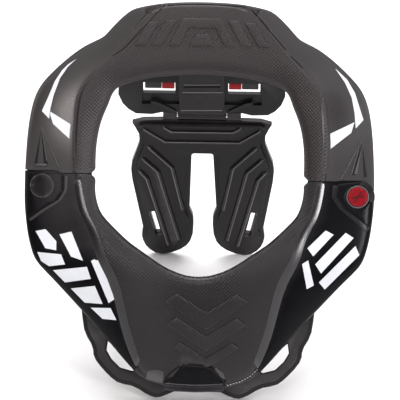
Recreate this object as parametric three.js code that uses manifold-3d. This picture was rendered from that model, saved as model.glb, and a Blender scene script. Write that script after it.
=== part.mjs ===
// A motocross neck brace: two stiff collar halves round an open neck hole, glossy side covers,
// a chest frame with a foam edge, and a hinged pair of thoracic fins down the back.
// It stands by itself on the foot of the chest foam and the tips of the fins.
// The collar is drawn flat in millimetres: x to the right, y towards the nape, z out of the
// top side, with the neck centre at the origin. The last lines lean it into its stance.
import * as THREE from 'three';
import { mergeVertices } from 'three/addons/utils/BufferGeometryUtils.js';
import Module from 'manifold-3d';

const wasm = await Module();
wasm.setup();

// Plan of the collar
const NECK_WIDTH = 174;
const NECK_REAR = 87;
const NECK_FRONT = 82;
const COLLAR_WIDTH = 293;
const COLLAR_REAR = 148;
const CHEST_REACH = 178;

// Section of the collar
const WALL = 3.2;
const COVER = 2.5;
const SEAT_GAP = 0.3;
const RIM_HEIGHT = 0.8;
const RIDGE_HEIGHT = 2.6;
const COVER_START = 1.2;
const COVER_FALL = 5;
const EDGE_ROLL = 2.6;
const FULL_FALL_WIDTH = 24;
const SKIRT_DEPTH = 20;
const CHEST_SWELL = 3;
const SWELL_FROM = 62;
const SWELL_OVER = 30;
const CREASE_DROP = 0.8;
const BAND_TOP = 10;
const LEDGE_START = 0.2;
const RIM_ROLL = 4;

// The chest part bends down from the collar plane over a short stretch
const BEND_START = -60;
const BEND_LENGTH = 30;
const BEND_SLOPE = 0.25;

// The two split lines
const SPLIT_GAP = 0.7;
const LEFT_BAND_SPLIT = 2.3;
const LEFT_COVER_SPLIT = 4.6;
const RIGHT_BAND_SPLIT = -1.3;
const SPLIT_STEP_INSET = 30.5;
const SPLIT_STEP_RUN = 3.5;
const SPLIT_CORNER = 3.2;

// Hub of the front half at the right and round cap at the left, both set in from the rim
const HUB_INSET = 13.7;
const CAP_INSET = 14.5;
const HUB_X = COLLAR_WIDTH / 2 - HUB_INSET;
const HUB_Y = -13.4;
const HUB_RADIUS = 13;
const HEEL_LOW = 5.5;
const KNUCKLE_START = 4.5;
const CAP_X = CAP_INSET - COLLAR_WIDTH / 2;
const CAP_Y = -8;
const CAP_RADIUS = 9.4;
const BUTTON_RADIUS = 8.3;
const BUTTON_THICK = 3.1;
const BUTTON_TOP = 1.2;
const BUTTON_TRAVEL = 2;
const STEM_RADIUS = 4.6;
const STEM_LENGTH = 3.1;
const RING_WALL = 0.9;
const RING_TOP = 0.5;
const HUB_SEAT = -4.6;
const HUB_PIN_RADIUS = 5;
const TURN_GAP = 0.4;

// Arm and tongue that join the halves
const ARM_TOP = -9.4;
const ARM_THICK = 4;
const ARM_WIDTH = 12;
const ARM_REACH = 44;
const ARM_GAP = 0.5;
const TONGUE_CORNER = 3;
const TONGUE_WIDTH = 14;
const TONGUE_LENGTH = 48;
const TONGUE_END = -18;

// Underside pads
const PAD_TOP = -10.5;
const PAD_BOTTOM = -31;
const PAD_ROUND = 5;
const PAD_GAP = 1.2;

// Chest frame and foam
const FRAME_THICK = 3;
const FOAM_THICK = 9.5;
const FOAM_MARGIN = 3.4;
const FOOT_REACH = 185;
const FRAME_TOP = -106;
const FRAME_HALF_WIDTH = 98;
const BADGE_WIDTH = 49;
const BADGE_HEIGHT = 17;
const BADGE_BAR = 6;
const BADGE_RISE = 1.4;
const BADGE_SINK = 1.2;
const BADGE_INSET = 3.4;
const FOAM_WINDOW_MARGIN = 1;

// Thoracic strut
const STRUT_ANGLE = 51;
const HINGE_Y = 54.5;
const BRACKET_THICK = 5;
const BRACKET_HALF_WIDTH = 70.6;
const BRACKET_HEIGHT = 65;
const PANEL_HALF_WIDTH = 19;
const PANEL_RISE = 2;
const PANEL_LOW = 5;
const PANEL_MARGIN = 6;
const WINDOW_NEAR = 22.3;
const WINDOW_FAR = 49.3;
const WINDOW_LOW = 28.3;
const WINDOW_HIGH = 44.3;
const RECESS_DEPTH = 1.8;
const RECESS_LOW = 16;
const RECESS_MARGIN = 1.4;
const RIDGE_WIDTH = 3;
const RIDGE_RISE = 1.2;
const SLOT_HEIGHT = 7.4;
const OUTER_SLIT = 1.4;
const BLOCK_LENGTH = 14.1;
const BLOCK_SINK = 0.6;
const PIN_LENGTH = 10.6;
const FOOT_HALF_WIDTH = 55;
const FOOT_LENGTH = 34;
const FOOT_STEP = -8.8;
const FOOT_TOP = -4.8;
const STEP_INSET = 5.5;

// Hinge and fins
const KNUCKLE_RADIUS = 4.2;
const HINGE_PIN_RADIUS = 1.6;
const PIN_SHORT = 0.5;
const CENTRE_KNUCKLE = 20.4;
const EAR_START = 21.4;
const EAR_END = 33;
const FIN_THICK = 4;
const FIN_HALF_WIDTH = 60.7;
const FIN_LENGTH = 188;
const FIN_PAD_THICK = 2.6;
const FIN_PAD_MARGIN = 4.4;
const RIB_WIDTH = 2.6;
const RIB_RISE = 1.1;
const RIB_ROOT = 0.5;
const FIN_SLOT_HALF_WIDTH = 9.2;
const FIN_SLOT_TOP = 50;
const STRAP_SLOT_LENGTH = 32;
const STRAP_SLOT_WIDTH = 3.9;
const STRAP_SLOT_X = 41.1;
const STRAP_SLOT_DOWN = 142.3;
const STRAP_SLOT_TURN = 10;
const SLOT_MARGIN = 0.6;
const SLOT_CORNER = 2.5;

const ROUND_SIDES = 24;
const STEPS_PER_ROW = 2;
const TALL = 90;

// One row per station, from the middle outwards. neck and edge are shares of the plan sizes,
// crease is the share of the way from neck to edge where the cover starts, cover tells whether
// a cover lies there, and deep is the share of the skirt depth.
const REAR_ROWS = [
  { neckX: 0, neckY: 1, edgeX: 0, edgeY: 1, crease: 0.955, cover: 0, deep: 1 },
  { neckX: 0.212, neckY: 0.99, edgeX: 0.206, edgeY: 0.992, crease: 0.955, cover: 0, deep: 1 },
  { neckX: 0.365, neckY: 0.976, edgeX: 0.332, edgeY: 0.969, crease: 0.88, cover: 1, deep: 1 },
  { neckX: 0.5, neckY: 0.957, edgeX: 0.418, edgeY: 0.941, crease: 0.742, cover: 1, deep: 1 },
  { neckX: 0.635, neckY: 0.923, edgeX: 0.521, edgeY: 0.839, crease: 0.678, cover: 1, deep: 1 },
  { neckX: 0.731, neckY: 0.894, edgeX: 0.567, edgeY: 0.79, crease: 0.634, cover: 1, deep: 1 },
  { neckX: 0.808, neckY: 0.856, edgeX: 0.664, edgeY: 0.745, crease: 0.546, cover: 1, deep: 1 },
  { neckX: 0.856, neckY: 0.788, edgeX: 0.767, edgeY: 0.669, crease: 0.52, cover: 1, deep: 1 },
  { neckX: 0.885, neckY: 0.702, edgeX: 0.858, edgeY: 0.584, crease: 0.5, cover: 1, deep: 1 },
  { neckX: 0.923, neckY: 0.615, edgeX: 0.921, edgeY: 0.51, crease: 0.44, cover: 1, deep: 1 },
  { neckX: 0.962, neckY: 0.5, edgeX: 0.961, edgeY: 0.414, crease: 0.38, cover: 1, deep: 1 },
  { neckX: 0.99, neckY: 0.346, edgeX: 0.984, edgeY: 0.283, crease: 0.355, cover: 1, deep: 1 },
  { neckX: 1, neckY: 0.192, edgeX: 0.995, edgeY: 0.136, crease: 0.335, cover: 1, deep: 1 },
  { neckX: 1, neckY: 0.019, edgeX: 1, edgeY: 0.006, crease: 0.31, cover: 1, deep: 1 },
  { neckX: 1, neckY: -0.154, edgeX: 1, edgeY: -0.091, crease: 0.29, cover: 1, deep: 1 },
];
const FRONT_ROWS = [
  { neckX: 0, neckY: 1, edgeX: 0, edgeY: 1, crease: 0.965, cover: 0, deep: 0.7 },
  { neckX: 0.024, neckY: 0.999, edgeX: 0.183, edgeY: 0.981, crease: 0.965, cover: 0, deep: 0.7 },
  { neckX: 0.048, neckY: 0.997, edgeX: 0.297, edgeY: 0.951, crease: 0.96, cover: 0, deep: 0.7 },
  { neckX: 0.096, neckY: 0.992, edgeX: 0.36, edgeY: 0.913, crease: 0.94, cover: 1, deep: 0.7 },
  { neckX: 0.154, neckY: 0.977, edgeX: 0.458, edgeY: 0.824, crease: 0.85, cover: 1, deep: 0.7 },
  { neckX: 0.24, neckY: 0.946, edgeX: 0.555, edgeY: 0.729, crease: 0.72, cover: 1, deep: 0.7 },
  { neckX: 0.337, neckY: 0.895, edgeX: 0.664, edgeY: 0.631, crease: 0.58, cover: 1, deep: 0.7 },
  { neckX: 0.442, neckY: 0.824, edgeX: 0.744, edgeY: 0.56, crease: 0.5, cover: 1, deep: 0.7 },
  { neckX: 0.558, neckY: 0.738, edgeX: 0.824, edgeY: 0.489, crease: 0.44, cover: 1, deep: 0.76 },
  { neckX: 0.663, neckY: 0.661, edgeX: 0.898, edgeY: 0.428, crease: 0.36, cover: 1, deep: 0.85 },
  { neckX: 0.769, neckY: 0.56, edgeX: 0.944, edgeY: 0.376, crease: 0.28, cover: 1, deep: 0.93 },
  { neckX: 0.875, neckY: 0.448, edgeX: 0.973, edgeY: 0.292, crease: 0.24, cover: 1, deep: 1 },
  { neckX: 0.952, neckY: 0.346, edgeX: 0.987, edgeY: 0.226, crease: 0.24, cover: 1, deep: 1 },
  { neckX: 0.998, neckY: 0.173, edgeX: 1, edgeY: 0.122, crease: 0.24, cover: 1, deep: 1 },
  { neckX: 1, neckY: 0.02, edgeX: 1, edgeY: 0.014, crease: 0.27, cover: 1, deep: 1 },
  { neckX: 1, neckY: -0.09, edgeX: 1, edgeY: -0.042, crease: 0.28, cover: 1, deep: 1 },
];

// Rows where the covers and the underside pads begin and end
const REAR_COVER_FROM = 2;
const FRONT_COVER_FROM = 3;
const SHOULDER_PAD_FROM = 5.5;
const SHOULDER_PAD_TO = 10.5;
const COLLARBONE_PAD_FROM = 7.5;
const COLLARBONE_PAD_TO = 12;

const CHASSIS_FINISH = { color: 0x3a3335, roughness: 0.62, metalness: 0 };
const GLOSS_FINISH = { color: 0x1b1b1d, roughness: 0.25, metalness: 0 };
const PLASTIC_FINISH = { color: 0x242325, roughness: 0.5, metalness: 0 };
const FOAM_FINISH = { color: 0x1f1e20, roughness: 0.95, metalness: 0 };
const RED_FINISH = { color: 0xb01020, roughness: 0.35, metalness: 0 };
const STEEL_FINISH = { color: 0x8f9094, roughness: 0.35, metalness: 0.9 };

// Solids

function solid(geometry) {
  const bare = geometry.clone();
  bare.deleteAttribute('normal');
  bare.deleteAttribute('uv');
  const merged = mergeVertices(bare, 1e-4);
  return new wasm.Manifold(new wasm.Mesh({
    numProp: 3,
    vertProperties: new Float32Array(merged.attributes.position.array),
    triVerts: new Uint32Array(merged.index.array),
  }));
}

function geometryOf(body) {
  const mesh = body.getMesh();
  const geometry = new THREE.BufferGeometry();
  geometry.setAttribute('position', new THREE.BufferAttribute(mesh.vertProperties, 3));
  geometry.setIndex(new THREE.BufferAttribute(mesh.triVerts, 1));
  return geometry;
}

function piece(name, body, finish) {
  const mesh = new THREE.Mesh(geometryOf(body), new THREE.MeshStandardMaterial(finish));
  mesh.name = name;
  return mesh;
}

// A closed body through a row of outlines that all have the same number of corners
function loft(sections, flatOutline) {
  const corners = sections[0].length;
  const positions = sections.flat().flatMap((p) => [p.x, p.y, p.z]);
  const indices = [];
  for (let row = 0; row + 1 < sections.length; row += 1) {
    for (let k = 0; k < corners; k += 1) {
      const next = (k + 1) % corners;
      const a = row * corners + k;
      const b = row * corners + next;
      const c = (row + 1) * corners + next;
      const d = (row + 1) * corners + k;
      indices.push(a, b, c, a, c, d);
    }
  }
  const last = (sections.length - 1) * corners;
  for (const [i, j, k] of endFaces(flatOutline(0))) {
    indices.push(i, k, j);
  }
  for (const [i, j, k] of endFaces(flatOutline(sections.length - 1))) {
    indices.push(last + i, last + j, last + k);
  }
  if (enclosed(positions, indices) < 0) {
    indices.reverse();
  }
  const geometry = new THREE.BufferGeometry();
  geometry.setAttribute('position', new THREE.Float32BufferAttribute(positions, 3));
  geometry.setIndex(indices);
  return solid(geometry);
}

// Triangles of a flat end, all turned the way the outline runs
function endFaces(outline) {
  const hand = THREE.ShapeUtils.area(outline) > 0;
  return THREE.ShapeUtils.triangulateShape(outline, []).map(([i, j, k]) => {
    const same = THREE.ShapeUtils.area([outline[i], outline[j], outline[k]]) > 0 === hand;
    return same ? [i, j, k] : [i, k, j];
  });
}

function enclosed(positions, indices) {
  const corner = (i) => new THREE.Vector3().fromArray(positions, 3 * i);
  let volume = 0;
  for (let i = 0; i < indices.length; i += 3) {
    const [a, b, c] = [corner(indices[i]), corner(indices[i + 1]), corner(indices[i + 2])];
    volume += a.dot(b.cross(c));
  }
  return volume;
}

function plate(outline, bottom, top, holes = []) {
  const shape = new THREE.Shape(outline);
  shape.holes = holes.map((points) => new THREE.Path(points));
  const geometry = new THREE.ExtrudeGeometry(shape, { depth: top - bottom, bevelEnabled: false });
  return solid(geometry.translate(0, 0, bottom));
}

function block(x0, x1, y0, y1, z0, z1) {
  const geometry = new THREE.BoxGeometry(x1 - x0, y1 - y0, z1 - z0);
  return solid(geometry.translate((x0 + x1) / 2, (y0 + y1) / 2, (z0 + z1) / 2));
}

function post(x, y, radius, bottom, top) {
  const geometry = new THREE.CylinderGeometry(radius, radius, top - bottom, ROUND_SIDES);
  return solid(geometry.rotateX(Math.PI / 2).translate(x, y, (bottom + top) / 2));
}

function crossBar(x0, x1, radius, sides = 16) {
  const geometry = new THREE.CylinderGeometry(radius, radius, x1 - x0, sides);
  return solid(geometry.rotateZ(Math.PI / 2).translate((x0 + x1) / 2, 0, 0));
}

function at(x, y) {
  return new THREE.Vector2(x, y);
}

function arc(cx, cy, radius, from, to, steps) {
  const points = [];
  for (let k = 0; k <= steps; k += 1) {
    const turn = THREE.MathUtils.degToRad(from + ((to - from) * k) / steps);
    points.push(at(cx + radius * Math.cos(turn), cy + radius * Math.sin(turn)));
  }
  return points;
}

function bothSides(half) {
  const mirrored = half.filter((p) => p.x > 0).map((p) => at(-p.x, p.y)).reverse();
  return [...half, ...mirrored];
}

function mirror(points) {
  return points.map((p) => at(-p.x, p.y)).reverse();
}

function rounded(points, steps) {
  const curve = new THREE.SplineCurve([...points]);
  return curve.getPoints(points.length * steps);
}

// Moves a closed outline inwards, or outwards with a negative distance
function inset(points, distance) {
  const turn = THREE.ShapeUtils.isClockWise(points) ? -1 : 1;
  return points.map((p, k) => {
    const before = points[(k + points.length - 1) % points.length];
    const after = points[(k + 1) % points.length];
    const a = p.clone().sub(before).normalize();
    const b = after.clone().sub(p).normalize();
    const normal = at(-(a.y + b.y), a.x + b.x).normalize();
    const reach = Math.max(0.5, normal.dot(at(-a.y, a.x)));
    return p.clone().addScaledVector(normal, (turn * distance) / reach);
  });
}

// A band of even width along a broken line
function band(line, width) {
  const side = (hand) => line.map((p, k) => {
    const a = (k > 0 ? p.clone().sub(line[k - 1]) : line[1].clone().sub(p)).normalize();
    const b = (k + 1 < line.length ? line[k + 1].clone().sub(p) : a.clone()).normalize();
    const normal = at(-(a.y + b.y), a.x + b.x).normalize();
    const reach = Math.max(0.5, normal.dot(at(-a.y, a.x)));
    return p.clone().addScaledVector(normal, (hand * width) / 2 / reach);
  });
  return [...side(1), ...side(-1).reverse()];
}

// Stations of the collar

function bend(y) {
  const past = BEND_START - y;
  if (past <= 0) {
    return 0;
  }
  if (past < BEND_LENGTH) {
    return (BEND_SLOPE * past * past) / (2 * BEND_LENGTH);
  }
  return BEND_SLOPE * (past - BEND_LENGTH / 2);
}

function blendRows(rows, place) {
  const from = Math.min(Math.floor(place), rows.length - 2);
  const share = place - from;
  const pick = (k) => rows[Math.min(Math.max(k, 0), rows.length - 1)];
  const smooth = (key) => {
    const [a, b, c, d] = [pick(from - 1), pick(from), pick(from + 1), pick(from + 2)];
    const [p, q, r, s] = [a[key], b[key], c[key], d[key]];
    const cubic = (3 * q - p - 3 * r + s) * share + 2 * p - 5 * q + 4 * r - s;
    return q + 0.5 * share * (r - p + share * cubic);
  };
  const even = (key) => pick(from)[key] * (1 - share) + pick(from + 1)[key] * share;
  return {
    neck: at(smooth('neckX'), smooth('neckY')),
    edge: at(smooth('edgeX'), smooth('edgeY')),
    crease: even('crease'),
    cover: even('cover'),
    deep: even('deep'),
  };
}

// side 1 is the right of the collar and -1 its left; end 1 is the rear and -1 the front
function station(half, place, side) {
  const turned = (row) => ({ ...row, neckX: -row.neckX, edgeX: -row.edgeX });
  const mirroredRows = half.rows.slice(1).map(turned);
  const rows = [...mirroredRows.reverse(), ...half.rows];
  const row = blendRows(rows, half.rows.length - 1 + place * side);
  const neck = at((row.neck.x * NECK_WIDTH) / 2, row.neck.y * half.neckReach * half.end);
  const edge = at((row.edge.x * COLLAR_WIDTH) / 2, row.edge.y * half.edgeReach * half.end);
  const length = neck.distanceTo(edge);
  return { ...row, neck, edge, length, creaseAt: row.crease * length };
}

const REAR = { rows: REAR_ROWS, end: 1, neckReach: NECK_REAR, edgeReach: COLLAR_REAR };
const FRONT = { rows: FRONT_ROWS, end: -1, neckReach: NECK_FRONT, edgeReach: CHEST_REACH };

function placed(s, outline) {
  const along = s.edge.clone().sub(s.neck).normalize();
  return outline.map((p) => {
    const x = s.neck.x + along.x * p.x;
    const y = s.neck.y + along.y * p.x;
    return new THREE.Vector3(x, y, p.y - bend(y));
  });
}

function loftStations(stations, outlineOf) {
  const outlines = stations.map(outlineOf);
  return loft(stations.map((s, k) => placed(s, outlines[k])), (k) => outlines[k]);
}

// Height of the cover's top at a share of the way from crease to edge; a narrow cover falls less
function coverHeight(share, width) {
  const roll = Math.max(0, (share - 0.9) / 0.1);
  const fall = COVER_FALL * share ** 1.6 + EDGE_ROLL * roll * roll;
  return COVER_START - fall * THREE.MathUtils.clamp(width / FULL_FALL_WIDTH, 0.25, 1);
}

const COVER_SHARES = [0, 0.3, 0.6, 0.88, 0.96, 1];
const SEAT_SHARES = [0, 0.45, 0.88, 1];

function chassisOutline(s) {
  const skirt = -SKIRT_DEPTH * s.deep;
  const crease = s.creaseAt;
  const rest = s.length - crease;
  const swell = CHEST_SWELL * THREE.MathUtils.clamp((s.length - SWELL_FROM) / SWELL_OVER, 0, 1);
  const sink = s.cover * (COVER + SEAT_GAP);
  const top = [
    at(1.4, skirt),
    at(0, -8),
    at(0.6, -3.6),
    at(RIM_ROLL, -0.4),
    at(Math.min(BAND_TOP, 0.45 * crease), RIM_HEIGHT),
    at(0.62 * crease, RIDGE_HEIGHT * 0.8 + swell),
    at(crease - 3, RIDGE_HEIGHT + swell * 0.3),
    at(crease, RIDGE_HEIGHT - CREASE_DROP),
  ];
  const ledge = SEAT_SHARES.map((share) => {
    const out = crease + LEDGE_START + (rest - LEDGE_START) * share;
    return at(out, coverHeight(share, rest) - sink);
  });
  const outer = [at(s.length, skirt), at(s.length - WALL, skirt)];
  const inside = s.length - WALL - 0.6;
  const under = [
    at(s.length - WALL, coverHeight(1, rest) - sink - 1.2),
    at(Math.min(crease + rest * 0.8 - 1, inside), coverHeight(0.8, rest) - sink - WALL),
    at(Math.min(crease + rest * 0.4, inside - 1.2), coverHeight(0.4, rest) - sink - WALL),
    at(Math.min(crease - 2, inside - 2.4), RIDGE_HEIGHT - CREASE_DROP - sink - WALL),
    at(0.55 * crease, RIDGE_HEIGHT * 0.7 - WALL + swell * 0.8),
    at(6.4, -4.4),
    at(WALL + 0.6, -8),
    at(WALL + 1.4, skirt),
  ];
  return [...top, ...ledge, ...outer, ...under];
}

function coverOutline(s) {
  const start = s.creaseAt + LEDGE_START + SEAT_GAP;
  const rest = s.length - start;
  const top = COVER_SHARES.map((share) => at(start + rest * share, coverHeight(share, rest)));
  const under = SEAT_SHARES.map((share) => at(start + rest * share, coverHeight(share, rest) - COVER));
  return [...top, ...under.reverse()];
}

function padOutline(s) {
  const inner = WALL + 1.4 + PAD_GAP;
  const outer = s.length - WALL - PAD_GAP;
  return [
    at(inner, PAD_TOP),
    at(inner, PAD_BOTTOM + PAD_ROUND),
    at(inner + PAD_ROUND * 0.3, PAD_BOTTOM + PAD_ROUND * 0.3),
    at(inner + PAD_ROUND, PAD_BOTTOM),
    at(outer - PAD_ROUND, PAD_BOTTOM),
    at(outer - PAD_ROUND * 0.3, PAD_BOTTOM + PAD_ROUND * 0.3),
    at(outer, PAD_BOTTOM + PAD_ROUND),
    at(outer, PAD_TOP),
  ];
}

function wholeHalf(half) {
  const last = half.rows.length - 1;
  const stations = [];
  for (let k = -last * STEPS_PER_ROW; k <= last * STEPS_PER_ROW; k += 1) {
    stations.push(station(half, Math.abs(k) / STEPS_PER_ROW, k < 0 ? -1 : 1));
  }
  return loftStations(stations, chassisOutline);
}

function sideLoft(half, side, from, to, outlineOf) {
  const stations = [];
  for (let k = from * STEPS_PER_ROW; k <= to * STEPS_PER_ROW; k += 1) {
    stations.push(station(half, k / STEPS_PER_ROW, side));
  }
  return loftStations(stations, outlineOf);
}

// Cutters for the split between the halves. hand is 1 on the right and -1 on the left.

function splitLine(hand, shift) {
  const bandAt = hand > 0 ? RIGHT_BAND_SPLIT : LEFT_BAND_SPLIT;
  const coverAt = hand > 0 ? HUB_Y + HUB_RADIUS : LEFT_COVER_SPLIT;
  const neckEdge = NECK_WIDTH / 2;
  const stepAt = COLLAR_WIDTH / 2 - SPLIT_STEP_INSET;
  const round = shift > 0 ? 1 : -1;
  return [
    at(hand * (neckEdge - 2), bandAt + shift + round * 3 * SPLIT_CORNER),
    at(hand * (neckEdge + 0.25 * SPLIT_CORNER), bandAt + shift + round * SPLIT_CORNER),
    at(hand * (neckEdge + SPLIT_CORNER), bandAt + shift + round * 0.25 * SPLIT_CORNER),
    at(hand * (neckEdge + 2 * SPLIT_CORNER), bandAt + shift),
    at(hand * stepAt, bandAt + shift),
    at(hand * (stepAt + SPLIT_STEP_RUN), coverAt + shift),
  ];
}

function splitCutter(keepsRear) {
  const shift = keepsRear ? SPLIT_GAP : 0;
  const far = COLLAR_WIDTH * 0.6;
  const away = keepsRear ? -TALL : TALL;
  const radius = HUB_RADIUS + shift;
  const endTurn = keepsRear
    ? THREE.MathUtils.radToDeg(Math.asin(HEEL_LOW / radius))
    : -THREE.MathUtils.radToDeg(Math.asin(KNUCKLE_START / radius));
  const round = arc(HUB_X, HUB_Y, radius, 90, endTurn, 10);
  const right = [...splitLine(1, shift || -0.001), ...round];
  const left = [...splitLine(-1, shift || -0.001)];
  const near = NECK_WIDTH * 0.4;
  right.push(at(far, round[round.length - 1].y), at(far, away), at(near, away), at(near, right[0].y));
  left.push(at(-far, LEFT_COVER_SPLIT + shift), at(-far, away), at(-near, away), at(-near, left[0].y));
  return plate(right, -TALL, TALL).add(plate(left, -TALL, TALL));
}

const rearCutter = splitCutter(true);
const frontCutter = splitCutter(false);

// Rear half

function rearParts() {
  const last = REAR_ROWS.length - 1;
  const chassis = wholeHalf(REAR).subtract(rearCutter);
  const cover = (side) => sideLoft(REAR, side, REAR_COVER_FROM, last, coverOutline).subtract(rearCutter);
  const pad = (side) => sideLoft(REAR, side, SHOULDER_PAD_FROM, SHOULDER_PAD_TO, padOutline);
  return [
    piece('rear_chassis', chassis, CHASSIS_FINISH),
    piece('rear_panel_left', cover(-1), GLOSS_FINISH),
    piece('rear_panel_right', cover(1), GLOSS_FINISH),
    piece('shoulder_pad_left', pad(-1), FOAM_FINISH),
    piece('shoulder_pad_right', pad(1), FOAM_FINISH),
    piece('hub_arm', hubArm(), PLASTIC_FINISH),
    piece('catch_tongue', catchTongue(), PLASTIC_FINISH),
  ];
}

function hubArm() {
  const bottom = ARM_TOP - ARM_THICK;
  const half = ARM_WIDTH / 2;
  const outline = [
    at(HUB_X - half, HUB_Y + ARM_REACH),
    ...arc(HUB_X, HUB_Y, half, 180, 360, 10),
    at(HUB_X + half, HUB_Y + ARM_REACH),
  ];
  const pinTop = BUTTON_TOP - BUTTON_THICK - STEM_LENGTH - BUTTON_TRAVEL - TURN_GAP;
  return plate(outline, bottom, ARM_TOP).add(post(HUB_X, HUB_Y, HUB_PIN_RADIUS, bottom, pinTop));
}

function catchTongue() {
  const half = TONGUE_WIDTH / 2;
  const outline = [
    at(CAP_X - half, TONGUE_END + TONGUE_LENGTH),
    at(CAP_X - half, TONGUE_END + TONGUE_CORNER),
    at(CAP_X - half + TONGUE_CORNER, TONGUE_END),
    at(CAP_X + half - TONGUE_CORNER, TONGUE_END),
    at(CAP_X + half, TONGUE_END + TONGUE_CORNER),
    at(CAP_X + half, TONGUE_END + TONGUE_LENGTH),
  ];
  return plate(outline, ARM_TOP - ARM_THICK, ARM_TOP);
}

// Front half

function frontParts() {
  const last = FRONT_ROWS.length - 1;
  const hubHole = BUTTON_RADIUS + RING_WALL + 2 * SEAT_GAP;
  const pinHole = post(HUB_X, HUB_Y, HUB_PIN_RADIUS + TURN_GAP, -TALL, TALL);
  const armHalf = ARM_WIDTH / 2;
  const armSide = HUB_X + armHalf + SEAT_GAP;
  const armTurns = block(armSide, COLLAR_WIDTH, HUB_Y - armHalf, TALL, -TALL, ARM_TOP + ARM_GAP);
  const badge = badgeOutline();
  const badgeBottom = RIDGE_HEIGHT - BADGE_SINK;
  const badgeHole = plate(inset(badge, -SEAT_GAP), 0, TALL);
  const chassis = wholeHalf(FRONT)
    .subtract(frontCutter)
    .subtract(post(HUB_X, HUB_Y, hubHole, HUB_SEAT, TALL))
    .subtract(pinHole)
    .subtract(armTurns)
    .subtract(tilted(badgeHole, badgeBottom));
  const cover = (side) => {
    return sideLoft(FRONT, side, FRONT_COVER_FROM, last, coverOutline).subtract(frontCutter);
  };
  const capHole = post(CAP_X, CAP_Y, CAP_RADIUS + SEAT_GAP, -TALL, TALL);
  const hubBore = post(HUB_X, HUB_Y, hubHole, -TALL, TALL);
  const cap = cover(-1).intersect(post(CAP_X, CAP_Y, CAP_RADIUS, -TALL, TALL));
  const pad = (side) => sideLoft(FRONT, side, COLLARBONE_PAD_FROM, COLLARBONE_PAD_TO, padOutline);
  return [
    piece('front_chassis', chassis, CHASSIS_FINISH),
    piece('front_panel_left', cover(-1).subtract(capHole), GLOSS_FINISH),
    piece('front_panel_right', cover(1).subtract(hubBore), GLOSS_FINISH),
    piece('catch_cap', cap, PLASTIC_FINISH),
    piece('hub_ring', hubRing(), STEEL_FINISH),
    piece('collarbone_pad_left', pad(-1), FOAM_FINISH),
    piece('collarbone_pad_right', pad(1), FOAM_FINISH),
    ...chestParts(),
  ];
}

function hubRing() {
  const bottom = HUB_SEAT + SEAT_GAP;
  const inner = BUTTON_RADIUS + SEAT_GAP;
  const bore = post(HUB_X, HUB_Y, inner, -TALL, TALL);
  return post(HUB_X, HUB_Y, inner + RING_WALL, bottom, RING_TOP).subtract(bore);
}

// The chest pieces lie in the bent plane, so they are drawn flat and sheared into it
function tilted(body, lift) {
  const start = BEND_SLOPE * (BEND_START - BEND_LENGTH / 2);
  const geometry = geometryOf(body);
  const place = geometry.attributes.position;
  for (let k = 0; k < place.count; k += 1) {
    place.setZ(k, place.getZ(k) + lift - start + BEND_SLOPE * place.getY(k));
  }
  return solid(geometry);
}

function badgeOutline() {
  const low = BADGE_INSET - CHEST_REACH;
  const half = BADGE_WIDTH / 2;
  const right = [
    at(0, low),
    at(half - 1, low),
    at(half, low + 1),
    at(half, low + BADGE_BAR),
    at(half * 0.82, low + BADGE_BAR + 1.4),
    at(half * 0.52, low + BADGE_HEIGHT),
    at(0, low + BADGE_HEIGHT + 0.6),
  ];
  return bothSides(right);
}

// Outline of the chest foam, one row per corner: across and down as shares of frame sizes
const FOAM_ROWS = [
  { across: 1, down: 0.573 },
  { across: 1.0, down: 0.6 },
  { across: 0.972, down: 0.702 },
  { across: 0.905, down: 0.77 },
  { across: 0.885, down: 0.824 },
  { across: 0.792, down: 0.886 },
  { across: 0.685, down: 0.934 },
  { across: 0.545, down: 0.952 },
  { across: 0.42, down: 0.99 },
  { across: 0.33, down: 1 },
  { across: 0.2, down: 0.972 },
];
const WINDOW_ROWS = [
  { across: 0.78, down: 0.735 },
  { across: 0.795, down: 0.79 },
  { across: 0.75, down: 0.832 },
  { across: 0.672, down: 0.872 },
  { across: 0.56, down: 0.888 },
  { across: 0.5, down: 0.868 },
];

function framePoints(rows) {
  return rows.map((row) => at(row.across * FRAME_HALF_WIDTH, -row.down * FOOT_REACH));
}

function chestParts() {
  const skirt = -SKIRT_DEPTH * FRONT_ROWS[0].deep;
  const outer = framePoints(FOAM_ROWS);
  const smooth = [outer[0], ...rounded(outer.slice(1), 2)];
  const whole = bothSides([...smooth.reverse(), at(outer[0].x * 0.86, FRAME_TOP)]);
  const window = framePoints(WINDOW_ROWS);
  const windows = [window, mirror(window)];
  const foamWindows = windows.map((points) => inset(points, FOAM_WINDOW_MARGIN));
  const frameTop = skirt - SEAT_GAP;
  const frame = plate(inset(whole, FOAM_MARGIN), frameTop - FRAME_THICK, frameTop, windows);
  const foamTop = skirt - 2 * SEAT_GAP - FRAME_THICK;
  const foam = plate(whole, foamTop - FOAM_THICK, foamTop, foamWindows);
  const badge = plate(badgeOutline(), SEAT_GAP, BADGE_SINK + BADGE_RISE);
  return [
    piece('chest_frame', tilted(frame, 0), PLASTIC_FINISH),
    piece('chest_foam', tilted(foam, 0), FOAM_FINISH),
    piece('chest_badge', tilted(badge, RIDGE_HEIGHT - BADGE_SINK), PLASTIC_FINISH),
  ];
}

function releaseButton() {
  const capBottom = BUTTON_TOP - BUTTON_THICK;
  const cap = post(HUB_X, HUB_Y, BUTTON_RADIUS, capBottom, BUTTON_TOP);
  const stem = post(HUB_X, HUB_Y, STEM_RADIUS, capBottom - STEM_LENGTH, capBottom + 1);
  return piece('release_button', cap.add(stem), RED_FINISH);
}

// Thoracic strut, drawn in its own plane: x across, y up from the hinge, z towards the wearer

// Half outline of the bracket, one row per corner, as shares of its half width and height
const BRACKET_ROWS = [
  { across: 0.6, up: 0.036 },
  { across: 0.79, up: 0.045 },
  { across: 0.88, up: 0.13 },
  { across: 0.95, up: 0.25 },
  { across: 1, up: 0.436 },
  { across: 0.99, up: 0.69 },
  { across: 0.91, up: 0.84 },
  { across: 0.78, up: 0.93 },
  { across: 0.72, up: 1 },
];

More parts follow.
